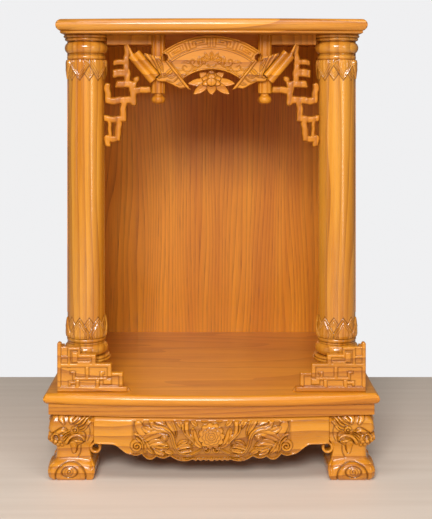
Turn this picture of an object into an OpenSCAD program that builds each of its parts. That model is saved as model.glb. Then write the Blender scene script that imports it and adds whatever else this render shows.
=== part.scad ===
// Altar cabinet: an open-fronted wooden shrine on four carved feet.
// +X is to the right, the open front faces -Y, +Z is up. The origin lies on the
// floor, at the middle of the footprint.

/* [Base] */
// Width of the base top over its rounded edges
base_w = 492; // [480:2:530]
// Depth of the cabinet, from the middle of the bowed front to the back
cabinet_d = 430; // [410:2:480]
// How far the middle of every front edge bows forward of its corners
bow = 15; // [8:1:22]
// Height of the base top's upper face above the floor
base_h = 130; // [126:1:150]
// Thickness of the base top
base_t = 16; // [12:0.5:20]
// How far the base top's rounded edge stands out from the frieze
base_lip = 6.5; // [4:0.5:10]
// Height of the frieze boards under the base top
frieze_h = 17; // [12:1:20]
// Thickness of the frieze boards
frieze_t = 18; // [12:1:24]

/* [Feet] */
// Width of a foot at its head, the same on both faces
foot_w = 67; // [60:1:76]
// Outer radius of the small curl beside each foot
curl_r = 9.2; // [7:0.2:10]
// Radius of the eye in that curl
curl_eye_r = 3.2; // [2:0.2:4.5]

/* [Apron] */
// Thickness of the apron boards at their fullest
apron_t = 24; // [18:1:30]
// Radius of the swelling on the front of the apron
swell_r = 90; // [70:5:140]
// Height of the plain ends of the apron's lower edge above the floor
apron_end_h = 55; // [52:1:62]
// Height of the lowest lobe of the front apron above the floor
apron_low_h = 29; // [24:1:36]
// Diameter of the carved pearls along the middle of the lower edge
pearl_d = 6.6; // [5:0.2:8]

/* [Corner fences] */
// Length of each fence panel along the base top
fence_l = 109; // [98:1:114]
// How far the fence stands in from the outer edge of the base top
fence_inset = 19; // [12:0.5:22]
// Height of the tallest step of a fence
fence_h = 66; // [58:1:76]
// Height of the rounded corner post of a fence
fence_post_h = 73; // [68:1:84]
// Thickness of a fence board
fence_t = 6; // [5:0.5:8]
// Height of the raised bars on a fence board
relief_h = 2.4; // [1.6:0.2:3]
// Width of a raised bar
relief_w = 6.4; // [5:0.2:7.6]

/* [Columns] */
// Distance from each side edge of the base top to the axis of its column
column_inset = 56.5; // [54:0.5:61]
// Distance from the corners of the base front back to the columns' axes
column_back = 56; // [50:1:70]
// Radius of the plain shaft
shaft_r = 27.6; // [24:0.2:29]
// Radius of the widest turned disc at a column's foot
disc_r = 36.5; // [34:0.5:38]
// Radius of the round collars next to the shaft's ends
collar_r = 32.8; // [31.4:0.2:34]
// Height of the plain drum under each column
drum_h = 38; // [30:1:44]
// Height of a ring of carved petals
petal_h = 30; // [24:1:34]
// Number of petals in a ring
petal_n = 6; // [5:1:8]

/* [Case] */
// Clear height between the base top and the board under the cornice
niche_h = 527; // [480:1:600]
// How far the side walls stand in from the side edges of the base top
case_inset = 25; // [21:0.5:27]
// Thickness of the side walls
wall_t = 17; // [12:1:20]
// Thickness of the back panel
back_t = 9; // [6:1:14]
// How far the side walls stop short of the back of the cabinet
back_inset = 14; // [10:1:24]
// How deep the back panel sits in from the walls' rear edges
back_rebate = 4; // [0:1:12]

/* [Cornice] */
// How far the side edges of the top board stand in from those of the base top
cornice_inset = 17.5; // [6:0.5:19]
// Thickness of the top board
cornice_t = 17.5; // [14:0.5:22]
// Thickness of the board under the cornice
soffit_t = 3.5; // [3:0.5:8]
// How far that board's edge stands in from the top board's
soffit_in = 6; // [4:0.5:9]

/* [Hanging work] */
// Height of the header rails between the columns and the posts
rail_h = 15; // [11:1:18]
// Thickness of the header rails
rail_t = 16; // [12:1:18]
// Distance from the middle to the axis of a hanging post
post_x = 80; // [77:1:83]
// Width of a hanging post
post_w = 20; // [16:1:22]
// Length of a hanging post down to its neck
post_l = 88; // [84:1:94]
// Radius of the flattened ball under a post
ball_r = 10.6; // [9:0.2:12]
// Thickness of the stepped lattice brackets
fret_t = 12; // [9:1:14]
// Width of a lattice bar
fret_bar = 7.5; // [6:0.5:8.5]
// How far the lattice brackets reach down from the board above
fret_l = 168; // [150:1:180]
// Outer radius of the fan
fan_r = 120; // [116:1:121]
// Inner radius of the fan
fan_in_r = 69.5; // [66:0.5:74]
// Half of the angle that the fan spans
fan_half = 38; // [35:1:40]
// Thickness of the fan board
fan_t = 13; // [10:1:16]
// Radius of the round notch beside each end of the fan
notch_r = 5.2; // [4:0.2:6]
// Radius of the rolled scrolls
roll_r = 5.6; // [4.6:0.2:6]
// Thickness of the lotus flower
lotus_t = 10; // [8:1:13]

/* [Hidden] */
wood = [0.80, 0.47, 0.14];
light_wood = [0.87, 0.57, 0.22];
veneer = [0.72, 0.39, 0.13];
// Clearance between pieces that are scribed around a turned column
seat = 0.3;
eps = 0.01;
arc_fn = 64;
bow_fn = 1440;
bow_sweep = 24;

y_mid = -cabinet_d / 2;
y_back = cabinet_d / 2;
y_corner = y_mid + bow;
base_half = base_w / 2;
// All the bowed fronts are turned about one upright line far behind the cabinet
bow_r = (base_half * base_half + bow * bow) / (2 * bow);
bow_y = y_mid + bow_r;

frieze_half = base_half - base_lip;
frieze_r = bow_r - base_lip - 2;
frieze_top = base_h - base_t;
apron_top = frieze_top - frieze_h;
frieze_back = y_back - base_lip;
frieze_y = bow_y - sqrt(frieze_r * frieze_r - frieze_half * frieze_half);
foot_in = frieze_half - foot_w;

column_x = base_half - column_inset;
column_y = y_corner + column_back;
soffit_z = base_h + niche_h;
cornice_z = soffit_z + soffit_t;
cornice_half = base_half - cornice_inset;
cornice_r = bow_r - 4;
soffit_half = cornice_half - soffit_in;
case_half = base_half - case_inset;
case_back = y_back - back_inset;
wall_in = case_half - wall_t;
wall_front = column_y + 16;

fence_half = base_half - fence_inset;
fence_y = frieze_y;

// Points on a quadratic curve from a to c that bends towards b, without its end
function bend(a, b, c, n = 4) =
    [for (i = [0 : n - 1]) let (t = i / n) (1 - t) * (1 - t) * a + 2 * t * (1 - t) * b + t * t * c];

// Points of a smooth step from a to b, level at both ends
function ease(a, b, n = 8) =
    [for (i = [0 : n]) let (t = i / n) [a.x + (b.x - a.x) * t, a.y + (b.y - a.y) * (1 - cos(180 * t)) / 2]];

// The right half of an outline, followed by its mirror image
function both_halves(points) =
    concat(points, [for (i = [len(points) - 1 : -1 : 0]) [-points[i].x, points[i].y]]);

// Sweeps an outline of [radius, height] around the line that the bowed fronts share
module bowed() {
    translate([0, bow_y, 0])
        rotate([0, 0, -90 - bow_sweep / 2])
            rotate_extrude(angle = bow_sweep, $fn = bow_fn)
                children();
}

// Stands an outline of [across, up] upright, from front to back
module upright(front, back) {
    translate([0, back, 0])
        rotate([90, 0, 0])
            linear_extrude(back - front)
                children();
}

module mirror_if(side) {
    mirror([side < 0 ? 1 : 0, 0, 0])
        children();
}

// Section of a board edge at x: a half round that is a little fuller than the board's
// own thickness, so that both faces cut it at a fine edge
module nose_section(x, length, z, t) {
    full = t + 0.6;
    translate([x - length, z - 0.3])
        square([length - full / 2, full]);
    translate([x - full / 2, z - 0.3 + full / 2])
        circle(d = full, $fn = arc_fn);
}

// A level board with half-round side edges and a half-round bowed front
module nosed_board(half, r, z, t, back) {
    intersection() {
        translate([-half - 1, y_mid - 1, z])
            cube([2 * half + 2, back - y_mid + 1, t]);
        upright(y_mid - 2, back + 1)
            for (side = [-1, 1])
                scale([side, 1])
                    nose_section(half, half + 1, z, t);
        bowed()
            nose_section(r, cabinet_d + bow, z, t);
    }
}

module base_top() {
    color(light_wood)
        nosed_board(base_half, bow_r, frieze_top, base_t, y_back);
}

// Plan of the bowed front boards, between two distances from the shared line
module bowed_plan(outer, inner) {
    translate([0, bow_y])
        difference() {
            circle(r = outer, $fn = bow_fn);
            circle(r = inner, $fn = bow_fn);
        }
}

module frieze_front() {
    color(wood)
        translate([0, 0, apron_top])
            linear_extrude(frieze_h)
                intersection() {
                    bowed_plan(frieze_r, frieze_r - frieze_t);
                    translate([-frieze_half, y_mid])
                        square([2 * frieze_half, cabinet_d / 2]);
                }
}

module frieze_side(side) {
    color(wood)
        mirror_if(side)
            translate([0, 0, apron_top])
                linear_extrude(frieze_h)
                    intersection() {
                        bowed_plan(frieze_r - frieze_t, frieze_r - 2 * cabinet_d);
                        translate([frieze_half - frieze_t, y_mid])
                            square([frieze_t, frieze_back - frieze_t - y_mid]);
                    }
}

module frieze_back() {
    color(wood)
        translate([-frieze_half, frieze_back - frieze_t, apron_top])
            cube([2 * frieze_half, frieze_t, frieze_h]);
}

// A rounded swelling of height 1 at one level, gone beyond half its spread
function swell(z, at, spread) = abs(z - at) < spread / 2 ? (1 + cos(360 * (z - at) / spread)) / 2 : 0;

// How far a foot's outer face stands in from the frieze at height z: brow, jaw, ankle, toe
function foot_face(z) =
    -1.2 * swell(z, apron_top - 13, 26) + 3.6 * swell(z, apron_top - 29, 12)
    + 9 * swell(z, 0.44 * apron_top, 0.44 * apron_top) - 1.6 * swell(z, 14, 26) + 3.4 * swell(z, 0, 9);

// How far its inner face stands from the same plane
function foot_flank(z) =
    foot_w - 7 * swell(z, 0.44 * apron_top, 0.40 * apron_top) + 1.4 * swell(z, 14, 26) - 3 * swell(z, 0, 9);

// One level of the foot: a square with a broad round on the outer corner
function foot_ring(z) =
    let (a = foot_face(z), b = foot_flank(z), wide = foot_w / 9, fine = foot_w / 28)
    [for (corner = [[a, a, wide, 180], [b, a, fine, 270], [b, b, fine, 0], [a, b, fine, 90]])
        for (i = [0 : 3])
            let (r = corner[2], t = corner[3] + 30 * i,
                cx = corner.x == a ? a + r : b - r, cy = corner.y == a ? a + r : b - r)
            [cx + r * cos(t), cy + r * sin(t), z]];

module foot_body() {
    levels = 24;
    n = 16;
    points = [for (i = [0 : levels]) for (p = foot_ring(apron_top * i / levels)) p];
    sides = [for (i = [0 : levels - 1]) for (j = [0 : n - 1])
        [i * n + j, (i + 1) * n + j, (i + 1) * n + (j + 1) % n, i * n + (j + 1) % n]];
    ends = [[for (j = [0 : n - 1]) j], [for (j = [n - 1 : -1 : 0]) levels * n + j]];
    polyhedron(points, concat(sides, ends), convexity = 6);
}

// The small volute between a foot and the apron, seen from the front
module foot_curl() {
    translate([foot_w + 1, apron_end_h - seat - curl_r])
        difference() {
            circle(r = curl_r, $fn = arc_fn);
            circle(r = curl_eye_r, $fn = arc_fn);
        }
}

// A foot has the same outline on its two outer faces; edge is 1 in front and -1 behind
module foot(side, edge) {
    face_y = edge > 0 ? frieze_y : -frieze_back;
    color(wood)
        mirror([side > 0 ? 1 : 0, 0, 0])
            mirror([0, edge > 0 ? 0 : 1, 0])
                translate([-frieze_half, face_y, 0]) {
                    foot_body();
                    upright(8, 8 + foot_w / 4)
                        foot_curl();
                    rotate([0, 0, 90])
                        mirror([0, 1, 0])
                            upright(8, 8 + foot_w / 4)
                                foot_curl();
                }
}

// Cusps between the lobes of the front apron's lower edge: the part of the way from the middle
// to a foot, and the part of the apron's dip above its lowest point. Then how far each lobe
// hangs below its two cusps, as a part of that dip
cusps = [[0.684, 0.385], [0.594, 0.438], [0.467, 0.296], [0.352, 0.327], [0.158, 0.123]];
lobe_drops = [0.10, 0.308, 0.154, 0.246];
pearl_n = 7;

// A rounded lobe from cusp a to cusp b
function lobe(a, b, drop) = bend(a, (a + b) / 2 - [0, 2 * drop], b, 6);

// Front apron seen from the front: plain ends, S-curves, lobes and a row of pearls
module apron_outline() {
    dip = apron_end_h - apron_low_h;
    low = [for (c = cusps) [c.x * foot_in, c.y * dip + apron_low_h]];
    pitch = 2 * low[4].x / pearl_n;
    polygon(both_halves(concat(
        [[foot_in, apron_top], [foot_in, apron_end_h]],
        ease([0.846 * foot_in, apron_end_h], [low[0].x + 1, low[0].y]),
        [for (i = [0 : 3]) for (p = lobe(low[i], low[i + 1], lobe_drops[i] * dip)) p],
        [for (i = [0 : 2]) for (p = lobe(low[4] - [i * pitch, 0], low[4] - [(i + 1) * pitch, 0], 0.4 * pearl_d)) p],
        bend(low[4] - [3 * pitch, 0], [pitch / 4, low[4].y - 0.8 * pearl_d], [0, low[4].y - 0.4 * pearl_d])
    )));
}

// Swelling section of an apron board, [distance out, up], with its fullest line at out
module apron_section(out) {
    intersection() {
        translate([out - swell_r, apron_top - 22])
            circle(r = swell_r, $fn = 4 * arc_fn);
        translate([out - apron_t, 0])
            square([apron_t, apron_top]);
    }
}

module apron_front() {
    color(wood)
        intersection() {
            bowed()
                apron_section(frieze_r - 2);
            upright(y_mid, y_corner + 2 * foot_w)
                apron_outline();
        }
}

// Outline of the plain side and back aprons, to a given half length
module plain_apron_outline(half) {
    polygon(both_halves(concat(
        [[half, apron_top], [half, apron_end_h]],
        ease([0.80 * half, apron_end_h], [0.45 * half, apron_end_h - 10])
    )));
}

module apron_side(side) {
    front = frieze_y + foot_w;
    back = frieze_back - foot_w;
    color(wood)
        mirror_if(side)
            intersection() {
                translate([0, back, 0])
                    rotate([90, 0, 0])
                        linear_extrude(back - front)
                            apron_section(frieze_half - 2);
                translate([0, (front + back) / 2, 0])
                    rotate([90, 0, 90])
                        linear_extrude(base_half)
                            plain_apron_outline((back - front) / 2);
            }
}

module apron_back() {
    color(wood)
        upright(frieze_back - 2 - apron_t + 6, frieze_back - 2)
            plain_apron_outline(foot_in);
}

// Right end and height of each step of a fence's front panel, from the corner
front_steps = [
    [0.315 * fence_l, fence_h], [0.525 * fence_l, 0.835 * fence_h],
    [0.735 * fence_l, 0.635 * fence_h], [0.89 * fence_l, 0.43 * fence_h]
];

// The same for its return, which drops low enough to pass under the column's turned foot
return_l = wall_front - seat - fence_y - relief_h - fence_t;
return_steps = [[0.28 * return_l, fence_h], [0.64 * return_l, drum_h - 3], [return_l - seat, 0.5 * drum_h]];

fence_rail_h = 8;
fence_foot = 0.05 * fence_l;

// A stepped panel with a sloping foot of a given length beyond its last step
module stepped_outline(steps, foot) {
    for (s = steps)
        square([s.x, s.y]);
    if (foot > 0)
        polygon([[0, 0], [steps[len(steps) - 1].x + 2 * foot, 0], [steps[len(steps) - 1].x + foot, fence_rail_h],
            [0, fence_rail_h]]);
}

// Raised bars that follow the steps, the bottom rail and the corner
module stepped_bars(steps, foot) {
    w = relief_w;
    last = len(steps) - 1;
    for (i = [0 : last]) {
        start = i == 0 ? 0 : steps[i - 1].x - w;
        low = i == last ? 0 : steps[i + 1].y - w;
        translate([start, steps[i].y - w])
            square([steps[i].x - start, w]);
        translate([steps[i].x - w, low])
            square([w, steps[i].y - low]);
    }
    square([w, steps[0].y]);
    square([steps[last].x + foot, fence_rail_h]);
}

// The meander bars inside the front panel
module meander_bars() {
    b = 0.72 * relief_w;
    tall = fence_h;
    translate([2 * relief_w, 0.5 * tall])
        square([b, 0.5 * tall]);
    for (z = [0.66, 0.8])
        translate([0, z * tall])
            square([2.4 * relief_w, 0.5 * relief_w]);
    translate([0, 0.5 * tall])
        square([front_steps[2].x - relief_w, b]);
    translate([0.4 * fence_l, 0.33 * tall])
        square([b, 0.2 * tall]);
    translate([0.17 * fence_l, 0.26 * tall])
        square([0.47 * fence_l, b]);
    for (x = [0.17, 0.6])
        translate([x * fence_l, 0.26 * tall])
            square([b, 0.15 * tall]);
    for (x = [0.25, 0.51])
        translate([x * fence_l, fence_rail_h - eps])
            square([b, 0.26 * tall - fence_rail_h + 2 * eps]);
}

module fence_front(side) {
    w = relief_h + fence_t;
    color(wood)
        mirror([side > 0 ? 1 : 0, 0, 0])
            translate([-fence_half, fence_y, base_h]) {
                upright(0, relief_h + eps) {
                    stepped_bars(front_steps, fence_foot);
                    meander_bars();
                }
                upright(relief_h, w)
                    stepped_outline(front_steps, fence_foot);
                cube([relief_w, w, fence_post_h - relief_w / 2]);
                translate([relief_w / 2, w, fence_post_h - relief_w / 2])
                    rotate([90, 0, 0])
                        cylinder(d = relief_w, h = w, $fn = arc_fn);
            }
}

module fence_side(side) {
    w = relief_h + fence_t;
    color(wood)
        mirror([side > 0 ? 1 : 0, 0, 0])
            translate([-fence_half, fence_y + w, base_h])
                rotate([0, 0, 90])
                    mirror([0, 1, 0]) {
                        upright(0, relief_h + eps)
                            stepped_bars(return_steps, 0);
                        upright(relief_h, w)
                            stepped_outline(return_steps, 0);
                    }
}

module column_drum(side) {
    color(wood)
        translate([side * column_x, column_y, base_h])
            cylinder(r = shaft_r, h = drum_h, $fn = arc_fn);
}

// Turned mouldings from a column's end inwards: [height, radius, what it is]
function foot_turning() = [[4, disc_r], [4, disc_r - 1.4], [18, collar_r], [2, shaft_r], [7.5, collar_r - 3.4]];
function head_turning() = [[4.5, disc_r - 2], [4.5, disc_r - 4], [1, shaft_r], [19, collar_r], [1, shaft_r], [8, collar_r - 3.6]];

function total(rows, n) = n == 0 ? 0 : rows[n - 1][0] + total(rows, n - 1);

// Half outline of one turned end: a stack of half-round mouldings on a core
module turned_end(rows) {
    for (i = [0 : len(rows) - 1]) {
        h = rows[i][0];
        r = rows[i][1];
        z = total(rows, i);
        translate([0, z])
            square([r - h / 2, h]);
        if (r > shaft_r)
            translate([r - h / 2, z + h / 2])
                circle(d = h, $fn = arc_fn);
    }
}

// A ring of pointed petals that stand up around the shaft
module petal_ring(radius, tip, phase) {
    pitch = 360 / petal_n;
    half_pitch = radius * tan(pitch / 2);
    difference() {
        rotate_extrude($fn = 2 * arc_fn)
            polygon([
                [0, 0], [radius - 1.4, 0], [radius, 0.34 * tip], [radius - 0.4, 0.6 * tip],
                [radius - 2, tip], [0, tip]
            ]);
        for (i = [0 : petal_n - 1])
            rotate([0, 0, (i + phase) * pitch])
                translate([shaft_r * 0.7, 0, 0])
                    rotate([90, 0, 90])
                        linear_extrude(shaft_r)
                            polygon([
                                [0, 0.45 * tip], [0.62 * half_pitch, 0.68 * tip],
                                [half_pitch, tip + eps], [half_pitch, tip + 1], [-half_pitch, tip + 1],
                                [-half_pitch, tip + eps], [-0.62 * half_pitch, 0.68 * tip]
                            ]);
    }
}

// Both rows of petals. The front one of the outer row is turned a little outwards.
module petals(side) {
    petal_ring(shaft_r + 3.9, petal_h - 1, side * 0.24);
    petal_ring(shaft_r + 2, petal_h, side * 0.24 + 0.5);
}

module column(side) {
    foot_z = base_h + drum_h;
    height = soffit_z - foot_z;
    foot_h = total(foot_turning(), len(foot_turning()));
    head_h = total(head_turning(), len(head_turning()));
    color(light_wood)
        translate([side * column_x, column_y, foot_z]) {
            rotate_extrude($fn = 2 * arc_fn) {
                turned_end(foot_turning());
                translate([0, foot_h - eps])
                    square([shaft_r, height - foot_h - head_h + 2 * eps]);
                translate([0, height])
                    mirror([0, 1])
                        turned_end(head_turning());
            }
            translate([0, 0, foot_h])
                petals(side);
            translate([0, 0, height - head_h])
                mirror([0, 0, 1])
                    petals(side);
        }
}

// The room that a column takes, with a gap around it, for the pieces that meet it
module column_room(gap) {
    end_h = drum_h + total(foot_turning(), len(foot_turning())) + petal_h + 1;
    head_h = total(head_turning(), len(head_turning())) + petal_h + 1;
    for (s = [-1, 1])
        translate([s * column_x, column_y, 0]) {
            translate([0, 0, base_h - 1])
                cylinder(r = disc_r + gap, h = end_h + 1, $fn = 2 * arc_fn);
            translate([0, 0, base_h])
                cylinder(r = shaft_r + gap, h = niche_h, $fn = 2 * arc_fn);
            translate([0, 0, soffit_z - head_h])
                cylinder(r = disc_r - 2 + gap, h = head_h + 1, $fn = 2 * arc_fn);
        }
}

module side_wall(side) {
    color(wood)
        difference() {
            mirror_if(side)
                translate([wall_in, wall_front, base_h])
                    cube([wall_t, case_back - wall_front, niche_h]);
            column_room(seat);
        }
}

module back_panel() {
    color(veneer)
        translate([-wall_in, case_back - back_rebate - back_t, base_h])
            cube([2 * wall_in, back_t, niche_h]);
}

module soffit_board() {
    color(wood)
        nosed_board(soffit_half, cornice_r - soffit_in, soffit_z, soffit_t, y_back - soffit_in);
}

module top_board() {
    color(light_wood)
        nosed_board(cornice_half, cornice_r, cornice_z, cornice_t, y_back);
}

post_y = column_y - 6;
rail_z = soffit_z - rail_h;
carving_y = post_y - post_w / 2;

module header_rail(side) {
    color(wood)
        difference() {
            mirror_if(side)
                translate([post_x + post_w / 2, post_y - rail_t / 2, rail_z])
                    cube([column_x - post_x - post_w / 2, rail_t, rail_h]);
            column_room(seat);
        }
}

// Section of a hanging post: a square with eased corners and two flutes in front
module post_section() {
    h = post_w / 2;
    c = post_w / 7;
    difference() {
        polygon([
            [-h + c, -h], [h - c, -h], [h, -h + c], [h, h - c],
            [h - c, h], [-h + c, h], [-h, h - c], [-h, -h + c]
        ]);
        for (s = [-1, 1])
            translate([s * h * 0.42, -h])
                rotate(45)
                    square(h * 0.22, center = true);
    }
}

module hanging_post(side) {
    neck_h = 3.5;
    ball_h = 12;
    color(wood)
        translate([side * post_x, post_y, soffit_z - post_l]) {
            linear_extrude(post_l)
                post_section();
            translate([0, 0, -neck_h - ball_h])
                rotate_extrude($fn = 2 * arc_fn) {
                    intersection() {
                        translate([ball_r - ball_h / 2, ball_h / 2])
                            circle(d = ball_h, $fn = arc_fn);
                        square([ball_r, ball_h]);
                    }
                    square([ball_r - ball_h / 2, ball_h]);
                    translate([0, ball_h - 1])
                        square([ball_r * 0.66, neck_h + 1 + eps]);
                }
        }
}

// Clear width between a column's shaft and a hanging post
fret_w = column_x - shaft_r - post_x - post_w / 2;

// Bars of a lattice bracket. Each row is [near, far] from the column's shaft towards the
// middle of the cabinet, then [from, to] down from the board above, in hundredths of the
// bracket's width and reach; b is the width of a bar.
function lattice_bars(b) =
    let (u = fret_w / 100, v = fret_l / 100)
    [
        [43 * u, 43 * u + b, rail_h, 43 * v],
        [21 * u, 46 * u, 22.6 * v, 22.6 * v + 0.85 * b], [18 * u, 53 * u, 31 * v, 31 * v + 1.4 * b],
        [26 * u, 68 * u, 41.7 * v, 41.7 * v + 1.2 * b], [55.6 * u, 55.6 * u + b, 43 * v, 62.5 * v],
        [2.8 * u, 55.6 * u + b, 56 * v, 56 * v + 1.2 * b], [2.8 * u, 2.8 * u + b, 44 * v, 57 * v],
        [36 * u, 36 * u + b, 57 * v, 77 * v], [-28 * u, 36 * u + b, 73 * v, 73 * v + b],
        [24.3 * u, 24.3 * u + b, 74 * v, 95 * v], [4.2 * u, 24.3 * u + b, 90.5 * v, 90.5 * v + b],
        [2 * u, 2 * u + 0.9 * b, 91 * v, fret_l]
    ];

module lattice(side) {
    color(wood)
        difference() {
            mirror_if(side)
                translate([column_x - shaft_r, 0, soffit_z])
                    upright(post_y - fret_t / 2, post_y + fret_t / 2) {
                        for (b = lattice_bars(fret_bar))
                            translate([-b[1], -b[3]])
                                square([b[1] - b[0], b[3] - b[2]]);
                        translate([-fret_w, -0.518 * fret_l])
                            square([0.416 * fret_w, 1.07 * fret_bar]);
                        scale([fret_w / 100, fret_l / 100])
                            polygon([[-5.6, -76.2], [-13.2, -77.4], [-18, -91], [-9.8, -91]]);
                    }
            column_room(seat);
        }
}

// The fan's curves share one centre
fan_z = soffit_z - seat / 2 - fan_r - 1.5;

module fan_wedge(r) {
    polygon([[0, 0], r * [-sin(fan_half), cos(fan_half)], [-r * sin(fan_half), r * 1.2],
        [r * sin(fan_half), r * 1.2], r * [sin(fan_half), cos(fan_half)]]);
}

module fan_band(outer, inner) {
    intersection() {
        difference() {
            circle(r = outer, $fn = 4 * arc_fn);
            circle(r = inner, $fn = 4 * arc_fn);
        }
        fan_wedge(1.1 * outer);
    }
}

module fan_panel() {
    relief = 1.6;
    color(light_wood)
        translate([0, carving_y - fan_t, fan_z]) {
            upright(relief, fan_t)
                fan_band(fan_r, fan_in_r);
            upright(0, relief + eps) {
                fan_band(fan_r, fan_r - 2.4);
                fan_band(fan_in_r + 32, fan_in_r + 30);
                fan_band(fan_in_r + 2.4, fan_in_r);
            }
        }
}

// Two rolled scrolls lie side by side on a slant outside each ribbon. Places are measured
// from the fan's centre.
roll_tilt = 40;
roll_l = 0.417 * fan_r;
roll_foot = fan_r * [0.729, 0.433];

function roll_base(i) = roll_foot + 1.64 * i * roll_r * [-cos(roll_tilt), sin(roll_tilt)];

// The rolls' outline with a gap around it
module rolls_outline(gap) {
    for (i = [0, 1])
        translate(roll_base(i))
            rotate(-roll_tilt)
                translate([-roll_r - gap, -gap])
                    square([2 * (roll_r + gap), roll_l + 2 * gap]);
}

// A ribbon end that hangs beside the fan, cut to the fan's slanting side and to the rolls
module ribbon(side) {
    color(wood)
        mirror_if(side)
            translate([0, 0, fan_z])
                upright(carving_y - fan_t + 2.5, carving_y)
                    difference() {
                        scale(fan_r / 100)
                            polygon([
                                [50, 76.7], [75, 70], [78.3, 65], [66.7, 43.3], [56.7, 42.9],
                                [47.5, 38.3], [39.2, 33.8], [33.3, 35], [25, 32]
                            ]);
                        fan_wedge(1.5 * fan_r);
                        rolls_outline(seat);
                        translate(fan_r * [0.571, 0.725])
                            circle(r = notch_r, $fn = arc_fn);
                    }
}

module scrolls(side) {
    tip_at = roll_base(0) + (roll_l - 4) * [sin(roll_tilt), cos(roll_tilt)];
    color(light_wood)
        mirror_if(side)
            translate([0, carving_y - roll_r, fan_z]) {
                for (i = [0, 1])
                    translate([roll_base(i).x, 0, roll_base(i).y])
                        rotate([0, roll_tilt, 0])
                            translate([0, 0, 1.5 * i])
                                cylinder(r = roll_r - 0.4 * i, h = roll_l - 3 * i, $fn = arc_fn);
                translate([tip_at.x, 0, tip_at.y])
                    rotate([0, 0.6 * roll_tilt, 0])
                        cylinder(r1 = roll_r * 0.66, r2 = 0.6, h = 0.46 * roll_l, $fn = arc_fn);
            }
}

// A pointed petal along +Y, from two equal arcs
module lotus_petal(length, width) {
    r = (length * length + width * width) / (4 * width);
    intersection_for (s = [-1, 1])
        translate([s * (r - width / 2), length / 2])
            circle(r = r, $fn = 2 * arc_fn);
}

module lotus() {
    u = fan_in_r / 100;
    heart_z = fan_z + fan_in_r - 24.5 * u;
    color(light_wood)
        translate([0, 0, heart_z])
            upright(carving_y - lotus_t, carving_y) {
                circle(r = 15.8 * u, $fn = arc_fn);
                for (s = [-1, 1]) {
                    rotate(s * 57)
                        lotus_petal(31.7 * u, 17.3 * u);
                    rotate(s * 97)
                        lotus_petal(51.8 * u, 17.3 * u);
                    rotate(s * 127)
                        lotus_petal(48.9 * u, 17.3 * u);
                }
                rotate(180)
                    lotus_petal(30.2 * u, 20.1 * u);
                lotus_petal(24.5 * u - seat, 17.3 * u);
            }
}

foot(-1, 1);  // foot_front_left
foot(1, 1);  // foot_front_right
foot(-1, -1);  // foot_back_left
foot(1, -1);  // foot_back_right
apron_front();
apron_side(-1);  // apron_left
apron_side(1);  // apron_right
apron_back();
frieze_front();
frieze_side(-1);  // frieze_left
frieze_side(1);  // frieze_right
frieze_back();
base_top();
fence_front(-1);  // fence_front_left
fence_front(1);  // fence_front_right
fence_side(-1);  // fence_side_left
fence_side(1);  // fence_side_right
column_drum(-1);  // column_drum_left
column_drum(1);  // column_drum_right
column(-1);  // column_left
column(1);  // column_right
side_wall(-1);  // side_wall_left
side_wall(1);  // side_wall_right
back_panel();
soffit_board();
top_board();
header_rail(-1);  // header_rail_left
header_rail(1);  // header_rail_right
hanging_post(-1);  // hanging_post_left
hanging_post(1);  // hanging_post_right
lattice(-1);  // lattice_left
lattice(1);  // lattice_right
fan_panel();
ribbon(-1);  // ribbon_left
ribbon(1);  // ribbon_right
scrolls(-1);  // scrolls_left
scrolls(1);  // scrolls_right
lotus();
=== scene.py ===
import math

import bmesh
import bpy
import numpy as np
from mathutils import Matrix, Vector


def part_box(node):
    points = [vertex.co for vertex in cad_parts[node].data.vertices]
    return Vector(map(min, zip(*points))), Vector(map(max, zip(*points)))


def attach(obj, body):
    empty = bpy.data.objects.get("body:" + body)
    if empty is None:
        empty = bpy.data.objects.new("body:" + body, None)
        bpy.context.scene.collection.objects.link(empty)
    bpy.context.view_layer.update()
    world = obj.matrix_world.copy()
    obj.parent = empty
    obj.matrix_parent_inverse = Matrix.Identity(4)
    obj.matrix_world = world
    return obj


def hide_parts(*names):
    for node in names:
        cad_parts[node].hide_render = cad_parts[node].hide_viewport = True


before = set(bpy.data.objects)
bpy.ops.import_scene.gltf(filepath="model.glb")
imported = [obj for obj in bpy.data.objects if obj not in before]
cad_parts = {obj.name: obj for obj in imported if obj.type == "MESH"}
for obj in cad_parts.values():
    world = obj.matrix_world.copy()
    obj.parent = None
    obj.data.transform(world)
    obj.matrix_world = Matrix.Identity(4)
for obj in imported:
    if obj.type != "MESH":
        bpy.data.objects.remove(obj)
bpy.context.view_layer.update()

# The studio: a pale floor that turns white behind the cabinet, as a wall would, and large
# soft lamps in front, above and beside. The eye is level, 559 mm above the floor, and the
# frame is shifted down so that upright edges stay upright.
EYE_DISTANCE = 1.660
EYE_HEIGHT = 0.559
PIXELS_PER_UNIT = 1000.0
FRAME_W, FRAME_H = 432, 519
SIGHT_X, SIGHT_Y = 211.5, 100.0
WALL_LINE = 0.358

lens = bpy.data.cameras.new("front_eye")
lens.sensor_width = 36.0
lens.lens = 36.0 * PIXELS_PER_UNIT / FRAME_H
lens.shift_x = (FRAME_W / 2 - SIGHT_X) / FRAME_H
lens.shift_y = -(FRAME_H / 2 - SIGHT_Y) / FRAME_H
lens.clip_start = 0.05
lens.clip_end = 60.0
eye = bpy.data.objects.new("front_eye", lens)
eye.location = (0.0, -EYE_DISTANCE, EYE_HEIGHT)
eye.rotation_euler = (math.radians(90), 0, 0)
bpy.context.scene.collection.objects.link(eye)
bpy.context.scene.camera = eye


def new_material(name):
    """An empty node material, its node tree and its output node."""
    material = bpy.data.materials.new(name)
    material.use_nodes = True
    tree = material.node_tree
    tree.nodes.clear()
    return material, tree, tree.nodes.new("ShaderNodeOutputMaterial")


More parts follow.
